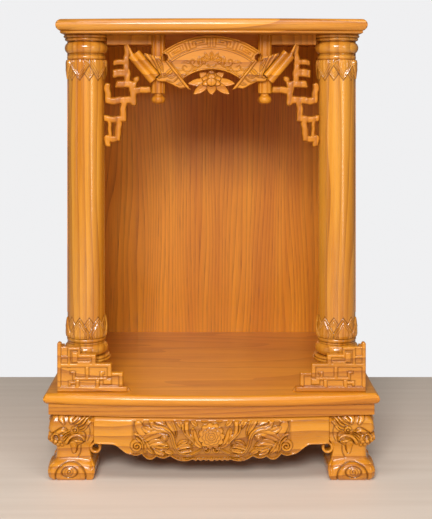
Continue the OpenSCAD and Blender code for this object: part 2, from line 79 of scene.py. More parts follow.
floor_material, tree, output = new_material("pale_floor")
seen = tree.nodes.new("ShaderNodeLightPath")
rough = tree.nodes.new("ShaderNodeBsdfPrincipled")
rough.inputs["Roughness"].default_value = 0.55
place = tree.nodes.new("ShaderNodeTexCoord")
boards = tree.nodes.new("ShaderNodeMapping")
boards.inputs["Scale"].default_value = (1.2, 22.0, 1.0)
planks = tree.nodes.new("ShaderNodeTexNoise")
planks.inputs["Scale"].default_value = 2.0
planks.inputs["Detail"].default_value = 3.0
tint = tree.nodes.new("ShaderNodeMix")
tint.data_type = "RGBA"
tint.inputs["A"].default_value = (0.66, 0.55, 0.45, 1)
tint.inputs["B"].default_value = (0.80, 0.70, 0.60, 1)
tree.links.new(place.outputs["Object"], boards.inputs["Vector"])
tree.links.new(boards.outputs["Vector"], planks.inputs["Vector"])
tree.links.new(planks.outputs["Fac"], tint.inputs["Factor"])
tree.links.new(tint.outputs["Result"], rough.inputs["Base Color"])
glow = tree.nodes.new("ShaderNodeEmission")
glow.inputs["Color"].default_value = (0.87, 0.87, 0.88, 1)
split = tree.nodes.new("ShaderNodeSeparateXYZ")
beyond = tree.nodes.new("ShaderNodeMath")
beyond.operation = "GREATER_THAN"
beyond.inputs[1].default_value = WALL_LINE
shown = tree.nodes.new("ShaderNodeMath")
shown.operation = "MULTIPLY"
cover = tree.nodes.new("ShaderNodeMixShader")
tree.links.new(place.outputs["Object"], split.inputs["Vector"])
tree.links.new(split.outputs["Y"], beyond.inputs[0])
tree.links.new(beyond.outputs["Value"], shown.inputs[0])
tree.links.new(seen.outputs["Is Camera Ray"], shown.inputs[1])
tree.links.new(shown.outputs["Value"], cover.inputs["Fac"])
tree.links.new(rough.outputs["BSDF"], cover.inputs[1])
tree.links.new(glow.outputs["Emission"], cover.inputs[2])
tree.links.new(cover.outputs["Shader"], output.inputs["Surface"])

bm = bmesh.new()
bmesh.ops.create_grid(bm, x_segments=2, y_segments=2, size=20.0)
floor_mesh = bpy.data.meshes.new("studio_floor")
bm.to_mesh(floor_mesh)
bm.free()
floor = bpy.data.objects.new("studio_floor", floor_mesh)
floor_mesh.materials.append(floor_material)
bpy.context.scene.collection.objects.link(floor)

world = bpy.data.worlds.new("studio_air")
world.use_nodes = True
tree = world.node_tree
tree.nodes.clear()
air = tree.nodes.new("ShaderNodeBackground")
air.inputs["Color"].default_value = (1.0, 0.98, 0.96, 1)
air.inputs["Strength"].default_value = 0.15
white = tree.nodes.new("ShaderNodeBackground")
white.inputs["Color"].default_value = (0.87, 0.87, 0.88, 1)
white.inputs["Strength"].default_value = 1.0
seen = tree.nodes.new("ShaderNodeLightPath")
cover = tree.nodes.new("ShaderNodeMixShader")
output = tree.nodes.new("ShaderNodeOutputWorld")
tree.links.new(seen.outputs["Is Camera Ray"], cover.inputs["Fac"])
tree.links.new(air.outputs["Background"], cover.inputs[1])
tree.links.new(white.outputs["Background"], cover.inputs[2])
tree.links.new(cover.outputs["Shader"], output.inputs["Surface"])
bpy.context.scene.world = world

# name, place, width, height, power in watts
LAMPS = [
    ("lamp_front", (-0.25, -2.5, 1.45), 0.9, 0.7, 65.0),
    ("lamp_right", (1.45, -2.1, 0.8), 0.22, 1.5, 7.0),
    ("lamp_left", (-1.9, -1.2, 0.9), 0.4, 1.4, 2.0),
    ("lamp_above", (0.0, -0.95, 2.0), 1.6, 0.8, 16.0),
]
AIM = Vector((0.0, 0.0, 0.35))
for name, spot, width, height, power in LAMPS:
    lamp = bpy.data.lights.new(name, "AREA")
    lamp.shape = "RECTANGLE"
    lamp.size = width
    lamp.size_y = height
    lamp.energy = power
    holder = bpy.data.objects.new(name, lamp)
    holder.location = spot
    holder.rotation_euler = (AIM - Vector(spot)).to_track_quat("-Z", "Y").to_euler()
    bpy.context.scene.collection.objects.link(holder)

bpy.context.scene.view_settings.view_transform = "Standard"

# The base: an ash-like hardwood board with a half-round edge over four frieze boards, all
# planed, glued and finished with a clear amber lacquer that darkens in the pores.


def figure_group():
    """Growth rings, pores and broad colour drift of a board, and the height of its pores."""
    group = bpy.data.node_groups.new("wood_figure", "ShaderNodeTree")
    face = group.interface
    face.new_socket("Vector", in_out="INPUT", socket_type="NodeSocketVector")
    for label, start in (("Rings", 14.0), ("Wave", 3.0), ("Seed", 0.0)):
        face.new_socket(label, in_out="INPUT", socket_type="NodeSocketFloat").default_value = start
    for label in ("Ring", "Pore", "Drift", "Height"):
        face.new_socket(label, in_out="OUTPUT", socket_type="NodeSocketFloat")
    nodes, links = group.nodes, group.links
    source = nodes.new("NodeGroupInput")
    result = nodes.new("NodeGroupOutput")

    def math_node(operation, first, second=None):
        node = nodes.new("ShaderNodeMath")
        node.operation = operation
        for index, value in enumerate((first, second)):
            if value is None:
                continue
            if isinstance(value, (int, float)):
                node.inputs[index].default_value = value
            else:
                links.new(value, node.inputs[index])
        return node.outputs["Value"]

    def noise(vector, scale, detail, size, roughness=0.5):
        stretch = nodes.new("ShaderNodeVectorMath")
        stretch.operation = "MULTIPLY"
        stretch.inputs[1].default_value = size
        links.new(vector, stretch.inputs[0])
        cloud = nodes.new("ShaderNodeTexNoise")
        cloud.noise_dimensions = "4D"
        cloud.inputs["Scale"].default_value = scale
        cloud.inputs["Detail"].default_value = detail
        cloud.inputs["Roughness"].default_value = roughness
        links.new(stretch.outputs["Vector"], cloud.inputs["Vector"])
        links.new(source.outputs["Seed"], cloud.inputs["W"])
        return cloud.outputs["Fac"]

    spread = noise(source.outputs["Vector"], 1.0, 2.0, (9.0, 9.0, 1.1))
    split = nodes.new("ShaderNodeSeparateXYZ")
    links.new(source.outputs["Vector"], split.inputs["Vector"])
    across = math_node("MULTIPLY", split.outputs["X"], source.outputs["Wave"])
    field = math_node("ADD", math_node("MULTIPLY", spread, 1.0), across)
    turns = math_node("MULTIPLY", field, source.outputs["Rings"])
    saw = math_node("FRACT", turns)
    ring = math_node("POWER", saw, 2.2)
    fine = noise(source.outputs["Vector"], 1.0, 3.0, (900.0, 900.0, 22.0), 0.6)
    pore_band = nodes.new("ShaderNodeMapRange")
    pore_band.inputs["From Min"].default_value = 0.52
    pore_band.inputs["From Max"].default_value = 0.72
    links.new(fine, pore_band.inputs["Value"])
    pore = math_node("MULTIPLY", pore_band.outputs["Result"], math_node("ADD", math_node("MULTIPLY", ring, 0.7), 0.3))
    drift = noise(source.outputs["Vector"], 1.0, 5.0, (34.0, 34.0, 1.8), 0.62)
    links.new(ring, result.inputs["Ring"])
    links.new(pore, result.inputs["Pore"])
    links.new(drift, result.inputs["Drift"])
    links.new(math_node("MULTIPLY", pore, -1.0), result.inputs["Height"])
    return group


WOOD_FIGURE = figure_group()


def lacquered_wood(name, grain, light, mid, dark, rings=14.0, wave=3.0, seed=0.0, pores=0.55,
                   roughness=0.30, coat=0.35, shift=(0, 0, 0), painted_carving_shade=False, figured=0.62, shine=0.4):
    """Lacquered wood whose grain runs along the axis named by grain."""
    material, tree, output = new_material(name)
    nodes, links = tree.nodes, tree.links
    shader = nodes.new("ShaderNodeBsdfPrincipled")
    shader.inputs["Coat Weight"].default_value = coat
    shader.inputs["Specular IOR Level"].default_value = shine
    shader.inputs["Coat Roughness"].default_value = 0.12
    place = nodes.new("ShaderNodeTexCoord")
    turn = nodes.new("ShaderNodeMapping")
    turn.inputs["Location"].default_value = shift
    turn.inputs["Rotation"].default_value = {
        "x": (0, math.radians(90), 0), "y": (math.radians(90), 0, 0), "z": (0, 0, 0),
    }[grain]
    figure = nodes.new("ShaderNodeGroup")
    figure.node_tree = WOOD_FIGURE
    figure.inputs["Rings"].default_value = rings
    figure.inputs["Wave"].default_value = wave
    figure.inputs["Seed"].default_value = seed
    links.new(place.outputs["Object"], turn.inputs["Vector"])
    links.new(turn.outputs["Vector"], figure.inputs["Vector"])

    def mixed(factor, first, second, strength=1.0):
        node = nodes.new("ShaderNodeMix")
        node.data_type = "RGBA"
        if strength != 1.0:
            scale = nodes.new("ShaderNodeMath")
            scale.operation = "MULTIPLY"
            scale.inputs[1].default_value = strength
            links.new(factor, scale.inputs[0])
            factor = scale.outputs["Value"]
        links.new(factor, node.inputs["Factor"])
        for label, value in (("A", first), ("B", second)):
            if isinstance(value, tuple):
                node.inputs[label].default_value = (*value, 1)
            else:
                links.new(value, node.inputs[label])
        return node.outputs["Result"]

    drift = nodes.new("ShaderNodeMapRange")
    drift.inputs["From Min"].default_value = 0.34
    drift.inputs["From Max"].default_value = 0.66
    links.new(figure.outputs["Drift"], drift.inputs["Value"])
    colour = mixed(drift.outputs["Result"], light, mid)
    colour = mixed(figure.outputs["Ring"], colour, dark, figured)
    colour = mixed(figure.outputs["Pore"], colour, tuple(0.45 * c for c in dark), pores)
    height = figure.outputs["Height"]
    # Painted shade: the attribute named carve holds painted shade, not a depth, and darkens the colour in the carving's
    # grooves, recesses and round its raised forms.
    if painted_carving_shade:
        depth = nodes.new("ShaderNodeAttribute")
        depth.attribute_name = "carve"
        colour = mixed(depth.outputs["Fac"], colour, tuple(0.34 * c for c in dark), 0.85)
    links.new(colour, shader.inputs["Base Color"])
    gloss = nodes.new("ShaderNodeMapRange")
    gloss.inputs["To Min"].default_value = roughness
    gloss.inputs["To Max"].default_value = roughness + 0.2
    links.new(figure.outputs["Pore"], gloss.inputs["Value"])
    links.new(gloss.outputs["Result"], shader.inputs["Roughness"])
    bump = nodes.new("ShaderNodeBump")
    bump.inputs["Strength"].default_value = 0.25
    bump.inputs["Distance"].default_value = 0.0002
    links.new(height, bump.inputs["Height"])
    links.new(bump.outputs["Normal"], shader.inputs["Normal"])
    links.new(shader.outputs["BSDF"], output.inputs["Surface"])
    return material


LIGHT_TONE = (0.66, 0.265, 0.018)
MID_TONE = (0.50, 0.162, 0.007)
DARK_TONE = (0.25, 0.055, 0.002)


def finish_piece(bm, name, material, nodes=(), smooth=38):
    """Turns a finished bmesh into a piece that stands for the given frame nodes."""
    mesh = bpy.data.meshes.new(name)
    bm.to_mesh(mesh)
    bm.free()
    mesh.polygons.foreach_set("use_smooth", [True] * len(mesh.polygons))
    mesh.set_sharp_from_angle(angle=math.radians(smooth))
    mesh.materials.append(material)
    piece = bpy.data.objects.new(name, mesh)
    bpy.context.scene.collection.objects.link(piece)
    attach(piece, "root")
    if nodes:
        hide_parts(*nodes)
    return piece


def eased_copy(node, name, material, edge=0.0006, steps=2, crease=28, smooth=38):
    """A copy of a frame node with its sharp edges rounded, as a finisher sands them."""
    bm = bmesh.new()
    bm.from_mesh(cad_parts[node].data)
    bmesh.ops.remove_doubles(bm, verts=bm.verts, dist=2e-6)
    bmesh.ops.dissolve_limit(
        bm, angle_limit=math.radians(0.06), verts=bm.verts, edges=bm.edges, delimit={"NORMAL"})
    if edge:
        sharp = [e for e in bm.edges
                 if len(e.link_faces) == 2 and e.calc_face_angle(0.0) > math.radians(crease)]
        bmesh.ops.bevel(bm, geom=sharp, offset=edge, offset_type="OFFSET", affect="EDGES",
                        segments=steps, profile=0.5, material=-1, clamp_overlap=True)
    bmesh.ops.triangulate(bm, faces=[f for f in bm.faces if len(f.verts) > 4])
    piece = finish_piece(bm, name, material, (node,), smooth)
    even = piece.modifiers.new("even_shading", "WEIGHTED_NORMAL")
    even.keep_sharp = True
    return piece


BASE_WOOD = lacquered_wood("base_board_wood", "x", (0.72, 0.285, 0.014), (0.57, 0.185, 0.007),
                           (0.36, 0.086, 0.003), rings=11, wave=5.0, seed=3.1, figured=0.4)
EDGE_WOOD = lacquered_wood("frieze_wood", "x", LIGHT_TONE, MID_TONE, DARK_TONE, rings=16, wave=6.0, seed=7.7)
SIDE_WOOD = lacquered_wood("side_frieze_wood", "y", LIGHT_TONE, MID_TONE, DARK_TONE, rings=16, wave=6.0, seed=5.2)
eased_copy("base_top", "base_board", BASE_WOOD, edge=0)
eased_copy("frieze_front", "frieze_board_front", EDGE_WOOD, 0.0008)
eased_copy("frieze_back", "frieze_board_back", EDGE_WOOD, 0.0008)
for side in ("left", "right"):
    eased_copy(f"frieze_{side}", f"frieze_board_{side}", SIDE_WOOD, 0.0008)

# The case: two solid side walls and a back of veneered board with an upright cathedral
# figure, let into a rebate between them.
WALL_WOOD = lacquered_wood("side_wall_wood", "z", (0.66, 0.24, 0.018), (0.56, 0.178, 0.010), DARK_TONE,
                           rings=12, wave=4.0, seed=11.3)
VENEER = lacquered_wood("back_veneer", "z", (0.80, 0.300, 0.010), (0.62, 0.19, 0.005), (0.38, 0.092, 0.002),
                        rings=17, wave=8.0, seed=2.6, pores=0.8, roughness=0.42, coat=0.15, figured=0.5)
for side in ("left", "right"):
    eased_copy(f"side_wall_{side}", f"case_wall_{side}", WALL_WOOD, 0.0010)
eased_copy("back_panel", "case_back", VENEER, 0)

# The cornice: a thick board with a half-round edge over a thin one, both bowed in front
# like the base, glued up from wide planks.
TOP_WOOD = lacquered_wood("cornice_wood", "x", (0.70, 0.305, 0.035), (0.50, 0.172, 0.010), (0.26, 0.060, 0.003),
                          rings=10, wave=6.0, seed=9.4)
eased_copy("top_board", "cornice_board", TOP_WOOD, 0)
eased_copy("soffit_board", "cornice_soffit", TOP_WOOD, 0)

# The columns: each is turned from one blank, with discs, a fat collar and a ring at both
# ends, and two rows of lotus petals carved between the ring and the plain shaft.
COLUMN_WOOD = lacquered_wood("column_wood", "z", (0.72, 0.325, 0.040), (0.49, 0.160, 0.008), (0.22, 0.048, 0.002),
                             rings=9, wave=9.0, seed=4.4, pores=0.6, roughness=0.26, coat=0.6, painted_carving_shade=True,
                             figured=0.5)
SHAFT_R = 0.0276
COLLAR_R = 0.0328
DISC_R = 0.0365
PETAL_H = 0.030
PETAL_COUNT = 6
PETAL_TURN = math.radians(-15.6)
FOOT_RINGS = [(0.004, DISC_R), (0.004, DISC_R - 0.0014), (0.018, COLLAR_R), (0.002, SHAFT_R),
              (0.0075, COLLAR_R - 0.0034)]
HEAD_RINGS = [(0.0045, DISC_R - 0.002), (0.0045, DISC_R - 0.004), (0.001, SHAFT_R), (0.019, COLLAR_R),
              (0.001, SHAFT_R), (0.008, COLLAR_R - 0.0036)]


def moulding(rings, z, up):
    """Profile points of stacked half-round mouldings from height z, upwards or downwards."""
    points = []
    for height, radius in rings:
        if radius <= SHAFT_R:
            points += [(radius, z + up * height * t) for t in (0.0, 1.0)]
        else:
            for step in range(11):
                angle = math.pi * (step / 10 - 0.5)
                points.append((radius - height / 2 + height / 2 * math.cos(angle),
                               z + up * height * (0.5 + math.sin(angle) / 2)))
        z += up * height
    return points, z


def petal_relief(turn, rise):
    """Height over the shaft and shadow at an angle and a share of the petals' height."""
    pitch = 2 * math.pi / PETAL_COUNT
    height = np.zeros_like(turn)
    shade = np.zeros_like(turn)
    for phase, lift in ((0.5, 0.0019), (0.0, 0.0037)):
        across = np.abs((turn / pitch + phase) % 1.0 - 0.5) * 2
        half = np.where(rise < 0.26, 1.0 - 0.08 * (1 - rise / 0.26) ** 2,
                        np.clip((1.0 - rise) / 0.74, 0, 1) ** 0.86)
        inside = half - across
        edge = np.clip(inside / 0.09, 0, 1)
        cover = edge * edge * (3 - 2 * edge)
        swell = np.interp(rise, (0.0, 0.12, 0.45, 1.0), (0.80, 1.0, 0.95, 0.35))
        rim = np.exp(-((inside - 0.12) / 0.05) ** 2) + 0.8 * np.exp(-((inside - 0.33) / 0.05) ** 2)
        groove = np.exp(-((inside - 0.22) / 0.045) ** 2) + 0.8 * np.exp(-((inside - 0.43) / 0.045) ** 2)
        veins = np.cos(across * 16) * np.clip(inside / 0.4, 0, 1) * np.clip((0.75 - rise) / 0.4, 0, 1)
        body = lift * (swell + 0.16 * rim - 0.24 * groove + 0.06 * veins)
        height = height * (1 - cover) + body * cover
        shade = shade * (1 - cover) + cover * (0.55 * groove)
        shade = np.maximum(shade, np.exp(-((inside + 0.03) / 0.05) ** 2) * (rise > 0.02))
    return height, shade


def carved_column(side):
    low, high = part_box(f"column_{side}")
    middle_x, middle_y = (low[0] + high[0]) / 2, (low[1] + high[1]) / 2
    foot, neck_low = moulding(FOOT_RINGS, low[2], 1)
    head, neck_high = moulding(HEAD_RINGS, high[2], -1)
    petals = [(SHAFT_R, neck_low + PETAL_H * 1.06 * t / 44) for t in range(45)]
    shaft_low, shaft_high = petals[-1][1], neck_high - PETAL_H * 1.06
    shaft = [(SHAFT_R, shaft_low + (shaft_high - shaft_low) * t / 6) for t in range(1, 6)]
    crown = [(SHAFT_R, neck_high - PETAL_H * 1.06 * t / 44) for t in range(44, -1, -1)]
    profile = [(0.0, low[2])] + foot + petals + shaft + crown + head[::-1] + [(0.0, high[2])]
    bm = bmesh.new()
    line = [bm.verts.new((r, 0, z)) for r, z in profile]
    for first, second in zip(line, line[1:]):
        bm.edges.new((first, second))
    bmesh.ops.spin(bm, geom=bm.verts[:] + bm.edges[:], cent=(0, 0, 0), axis=(0, 0, 1), dvec=(0, 0, 0),
                   angle=2 * math.pi, steps=216, use_merge=True, use_duplicate=False)
    bmesh.ops.remove_doubles(bm, verts=bm.verts, dist=1e-6)
    bmesh.ops.recalc_face_normals(bm, faces=bm.faces)
    # Painted shade: the layer named carve, held in depth, stores painted shade round the petals and in their grooves,
    # not a depth.
    depth = bm.verts.layers.float.new("carve")
    verts = list(bm.verts)
    places = np.array([v.co[:] for v in verts])
    hand = -1 if side == "left" else 1
    turn = np.arctan2(places[:, 1], places[:, 0]) + math.pi / 2 - hand * PETAL_TURN
    radius = np.hypot(places[:, 0], places[:, 1])
    on_shaft = np.abs(radius - SHAFT_R) < 1e-5
    for start, up in ((neck_low, 1), (neck_high, -1)):
        rise = (places[:, 2] - start) * up / PETAL_H
        here = on_shaft & (rise > -1e-4) & (rise < 1.06)
        height, shade = petal_relief(turn[here], rise[here])
        for index, lift, dark in zip(np.nonzero(here)[0], height, shade):
            vert = verts[index]
            vert.co.xy = vert.co.xy * (1 + lift / SHAFT_R)
            vert[depth] = float(dark)
    bmesh.ops.translate(bm, vec=(middle_x, middle_y, 0), verts=bm.verts)
    return finish_piece(bm, f"turned_column_{side}", COLUMN_WOOD, (f"column_{side}",), 50)


for side in ("left", "right"):
    carved_column(side)
    eased_copy(f"column_drum_{side}", f"turned_drum_{side}", COLUMN_WOOD, 0)

# The corner fences: boards cut to falling steps, with a meander of raised bars left
# standing by the carver and a round-headed corner post, glued to the base top round each
# column's foot. Sizes of carved pieces are in millimetres.
MM = 0.001
BASE_TOP_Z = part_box("base_top")[1][2] / MM


def slope(field, x, z, step=0.05):
    """Value of a field of distances and its unit gradient."""
    value = field(x, z)
    gx = (field(x + step, z) - field(x - step, z)) / (2 * step)
    gz = (field(x, z + step) - field(x, z - step)) / (2 * step)
    size = np.maximum(np.hypot(gx, gz), 1e-6)
    return value, gx / size, gz / size


def carved_slab(bounds, cell, outline, front, back):
    """A board cut to an outline. outline(x, z) is the distance inside its edge; front and
    back give (X, Y, Z, shadow) of each face from x, z and that distance."""
    x0, x1, z0, z1 = bounds
    across, up = int(math.ceil((x1 - x0) / cell)), int(math.ceil((z1 - z0) / cell))
    bm = bmesh.new()
    bmesh.ops.create_grid(bm, x_segments=across, y_segments=up, size=0.5)
    # Painted shade: the layer named carve, held in depth, stores the painted shade that front and back give, not a
    # depth.
    depth = bm.verts.layers.float.new("carve")
    verts = list(bm.verts)
    spots = np.array([v.co[:2] for v in verts])
    x = x0 + (spots[:, 0] + 0.5) * (x1 - x0)
    z = z0 + (spots[:, 1] + 0.5) * (z1 - z0)
    inside, gx, gz = slope(outline, x, z)
    near = (inside > -0.78 * cell) & (inside < 0.32 * cell)
    for _ in range(3):
        value, gx, gz = slope(outline, x[near], z[near])
        x[near] -= value * gx
        z[near] -= value * gz
    for vert, vx, vz in zip(verts, x, z):
        vert.co = (vx, vz, 0.0)
    bmesh.ops.delete(bm, geom=[v for v, d in zip(verts, inside) if d <= -0.78 * cell], context="VERTS")
    thin = [f for f in bm.faces if f.calc_area() < 0.02 * cell * cell]
    bmesh.ops.delete(bm, geom=thin, context="FACES")
    loose = [v for v in bm.verts if not v.link_faces]
    bmesh.ops.delete(bm, geom=loose, context="VERTS")
    rear = bmesh.ops.extrude_face_region(bm, geom=bm.faces[:], use_keep_orig=True)
    rear = {v for v in rear["geom"] if isinstance(v, bmesh.types.BMVert)}
    for chosen, shape in (([v for v in bm.verts if v not in rear], front), (list(rear), back)):
        spots = np.array([v.co[:2] for v in chosen])
        edge = outline(spots[:, 0], spots[:, 1])
        places = shape(spots[:, 0], spots[:, 1], edge)
        for vert, px, py, pz, dark in zip(chosen, *np.broadcast_arrays(*places)):
            vert.co = (px * MM, py * MM, pz * MM)
            vert[depth] = float(dark)
    bmesh.ops.recalc_face_normals(bm, faces=bm.faces)
    return bm


def box_field(x, z, x0, x1, z0, z1):
    """Distance inside a rectangle's edge."""
    return np.minimum(np.minimum(x - x0, x1 - x), np.minimum(z - z0, z1 - z))


def step01(value):
    """A smooth step from 0 to 1."""
    value = np.clip(value, 0, 1)
    return value * value * (3 - 2 * value)


FENCE_LOW, FENCE_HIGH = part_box("fence_front_left")
FENCE_FRONT, FENCE_BACK = FENCE_LOW[1] / MM, FENCE_HIGH[1] / MM
FENCE_SIDE = -FENCE_LOW[0] / MM
FENCE_L, FENCE_H, POST_H = 109.0, 66.0, 73.0
BAR_W, BAR_LIFT = 6.2, 2.4
STEPS = [(34.3, 66.0), (57.2, 55.1), (80.1, 41.9), (97.0, 28.4)]
# Raised bars inside the outline: [from, to] along the base, then [from, to] up
FENCE_BARS = [
    (0.0, 5.6, 0.0, 73.0), (0.0, 103.0, 0.0, 8.0), (15.6, 19.4, 36.0, 66.0), (5.0, 16.0, 50.0, 52.6),
    (5.0, 16.0, 38.0, 41.4), (15.6, 34.3, 61.0, 66.0), (22.0, 30.4, 43.5, 58.0), (30.4, 34.3, 50.0, 66.0),
    (30.4, 57.2, 50.4, 55.1), (30.0, 50.0, 40.0, 45.6), (50.8, 57.2, 37.5, 55.1), (5.0, 80.1, 36.6, 41.9),
    (74.0, 80.1, 22.0, 41.9), (80.1, 97.0, 23.6, 28.4), (91.0, 97.0, 8.0, 28.4), (41.6, 46.8, 20.0, 37.0),
    (23.0, 74.0, 17.4, 21.6), (23.0, 27.0, 17.4, 30.0), (19.0, 25.0, 26.6, 30.6), (63.0, 67.2, 21.0, 29.4),
    (67.0, 70.0, 26.0, 29.4), (27.6, 32.8, 7.0, 18.0), (57.0, 62.2, 7.0, 18.0), (16.5, 20.5, 9.0, 16.5),
    (16.5, 27.8, 11.6, 15.6), (68.0, 80.0, 11.0, 19.0),
]


def fence_outline(x, z):
    inside = box_field(x, z, 0.0, BAR_W, 0.0, POST_H - BAR_W / 2)
    inside = np.maximum(inside, BAR_W / 2 - np.hypot(x - BAR_W / 2, z - POST_H + BAR_W / 2))
    for right, top in STEPS:
        inside = np.maximum(inside, box_field(x, z, 0.0, right, 0.0, top))
    ramp = (103.0 + 5.4 - x - z * 0.68) * 0.83
    return np.maximum(inside, np.minimum(np.minimum(x, ramp), np.minimum(z, 8.0 - z)))


def fence_face(side):
    def front(x, z, edge):
        bars = np.full(x.shape, -99.0)
        for bar in FENCE_BARS:
            bars = np.maximum(bars, box_field(x, z, *bar))
        lift = BAR_LIFT * step01(bars / 0.9 + 0.35) * (0.80 + 0.20 * step01(bars / 2.2))
        lift = lift + 0.25 * np.sin(x * 0.9 + z * 0.4) * np.sin(z * 0.8 - 1.0) * 0.4
        lift = lift - 0.9 * (1 - step01(edge / 1.0))
        shade = 0.75 * np.exp(-((bars + 0.55) / 0.55) ** 2) * (edge > 0.8)
        return side * (FENCE_SIDE - x), FENCE_FRONT + BAR_LIFT - np.clip(lift, -0.6, BAR_LIFT), BASE_TOP_Z + z, shade
    return front


FENCE_WOOD = lacquered_wood("fence_wood", "x", (0.66, 0.265, 0.018), (0.52, 0.172, 0.008), DARK_TONE,
                            rings=12, wave=5.0, seed=6.3, roughness=0.33, painted_carving_shade=True)
for side, hand in (("left", -1), ("right", 1)):
    def fence_rear(x, z, edge, hand=hand):
        return hand * (FENCE_SIDE - x), np.full(x.shape, FENCE_BACK), BASE_TOP_Z + z, np.zeros(x.shape)
    slab = carved_slab((-1, 110, -1, 75), 0.75, fence_outline, fence_face(hand), fence_rear)
    finish_piece(slab, f"stepped_fence_front_{side}", FENCE_WOOD, (f"fence_front_{side}",), 55)
    eased_copy(f"fence_side_{side}", f"stepped_fence_side_{side}", FENCE_WOOD, 0.0005)

# The header: rails and flat-balled posts under the cornice, with fretted brackets that
# step down beside the columns. The carver has rounded every bar of a bracket over.
FRET_WOOD = lacquered_wood("fret_wood", "z", (0.58, 0.215, 0.012), (0.46, 0.145, 0.007), (0.23, 0.052, 0.002),
                           rings=12, wave=5.0, seed=8.8, roughness=0.40, coat=0.1, painted_carving_shade=True, shine=0.25)
SOFFIT_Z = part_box("soffit_board")[0][2] / MM
FRET_LOW, FRET_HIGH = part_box("lattice_right")
FRET_Y = (FRET_LOW[1] + FRET_HIGH[1]) / 2 / MM
FRET_T = (FRET_HIGH[1] - FRET_LOW[1]) / MM
COLUMN_X = (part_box("column_right")[0][0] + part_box("column_right")[1][0]) / 2 / MM
COLUMN_Y = (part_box("column_right")[0][1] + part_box("column_right")[1][1]) / 2 / MM
SHAFT_EDGE = COLUMN_X - 27.6
FRET_W = SHAFT_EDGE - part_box("hanging_post_right")[1][0] / MM
FRET_L, FRET_BAR, RAIL_H = 168.0, 7.5, 15.0


def fret_bars():
    """Bars as [near, far] from the shaft towards the middle and [from, to] down."""
    u, v, b = FRET_W / 100, FRET_L / 100, FRET_BAR
    return [
        (43 * u, 43 * u + b, RAIL_H, 43 * v), (21 * u, 46 * u, 22.6 * v, 22.6 * v + 0.85 * b),
        (18 * u, 53 * u, 31 * v, 31 * v + 1.4 * b), (26 * u, 68 * u, 41.7 * v, 41.7 * v + 1.2 * b),
        (55.6 * u, 55.6 * u + b, 43 * v, 62.5 * v), (2.8 * u, 55.6 * u + b, 56 * v, 56 * v + 1.2 * b),
        (2.8 * u, 2.8 * u + b, 44 * v, 57 * v), (36 * u, 36 * u + b, 57 * v, 77 * v),
        (-6 * u, 36 * u + b, 73 * v, 73 * v + b), (24.3 * u, 24.3 * u + b, 74 * v, 95 * v),
        (4.2 * u, 24.3 * u + b, 90.5 * v, 90.5 * v + b), (2 * u, 2 * u + 0.9 * b, 91 * v, FRET_L),
        (58.4 * u, 100 * u, 51.8 * v - 1.07 * b, 51.8 * v),
    ]


def fret_outline(x, z):
    """x runs from the shaft towards the middle, z down from the board above."""
    x = x + 0.9 * np.sin(0.17 * z + 0.6) + 0.5 * np.sin(0.41 * z)
    z = z + 0.8 * np.sin(0.19 * x + 2.0) + 0.5 * np.sin(0.37 * x)
    inside = 5.0 - np.hypot(x - 48.7, z - 66.0)
    for near, far, top, bottom in fret_bars():
        body = box_field(x, z, near, far, top, bottom)
        outside = np.hypot(np.maximum(np.maximum(near + 2 - x, x - far + 2), 0),
                           np.maximum(np.maximum(top + 2 - z, z - bottom + 2), 0))
        inside = np.maximum(inside, np.where(outside > 0, 2 - outside, body) + 1.2)
    slant = (z - 128.0) / 25.0
    stay = np.minimum(3.1 - np.abs(x - 6.5 - 3.6 * slant), np.minimum(z - 126, 156 - z))
    inside = np.maximum(inside, stay)
    return np.minimum(inside, np.minimum(x + 0.6, z - 14.5))


def fret_face(hand, facing):
    def shape(x, z, edge):
        swell = np.sqrt(np.clip(1 - (1 - np.clip(edge / 3.6, 0, 1)) ** 2, 0, 1))
        knot = 0.35 * np.sin(0.33 * x + 0.21 * z) * np.sin(0.27 * z - 0.4 * x)
        rise = FRET_T / 2 * (0.42 + 0.58 * swell) + knot * np.clip(edge / 2, 0, 1)
        rise = np.minimum(rise, FRET_T / 2)
        shade = 0.45 * (1 - np.clip(edge / 1.2, 0, 1))
        return hand * (SHAFT_EDGE - x), FRET_Y - facing * rise, SOFFIT_Z - z, shade
    return shape


for side, hand in (("left", -1), ("right", 1)):
    eased_copy(f"header_rail_{side}", f"rail_{side}", FRET_WOOD, 0.0010)
    eased_copy(f"hanging_post_{side}", f"post_{side}", FRET_WOOD, 0.0008)
    slab = carved_slab((-1, 74, 14, 170), 0.8, fret_outline, fret_face(hand, 1), fret_face(hand, -1))
    finish_piece(slab, f"fret_bracket_{side}", FRET_WOOD, (f"lattice_{side}",), 60)

# The fan plaque: a board bent like an open fan, carved with a meander band over a band of
# scrolling leaves, with ribbon ends, rolled scrolls and a lotus hanging round it.
PLAQUE_WOOD = lacquered_wood("plaque_wood", "x", (0.64, 0.250, 0.012), (0.53, 0.178, 0.007), DARK_TONE,
                             rings=12, wave=5.0, seed=1.9, roughness=0.42, coat=0.1, painted_carving_shade=True, shine=0.25)
FAN_LOW, FAN_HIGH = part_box("fan_panel")
FAN_FRONT, FAN_BACK = FAN_LOW[1] / MM, FAN_HIGH[1] / MM
FAN_R, FAN_IN_R, FAN_HALF = 120.0, 69.5, math.radians(38)
FAN_Z = FAN_HIGH[2] / MM - FAN_R
FAN_BAND_R = 101.0
NOTCH = (69.8, 87.2, 5.4)


def smooth_line(points, steps=8):
    """Points of a smooth curve through the given points."""
    p = np.array(points, float)
    p = np.vstack([2 * p[0] - p[1], p, 2 * p[-1] - p[-2]])
    t = np.linspace(0, 1, steps, endpoint=False)[:, None]
    parts = [0.5 * (2 * b + (c - a) * t + (2 * a - 5 * b + 4 * c - d) * t ** 2 + (3 * b - a - 3 * c + d) * t ** 3)
             for a, b, c, d in zip(p, p[1:], p[2:], p[3:])]
    return np.vstack(parts + [p[-2][None]])


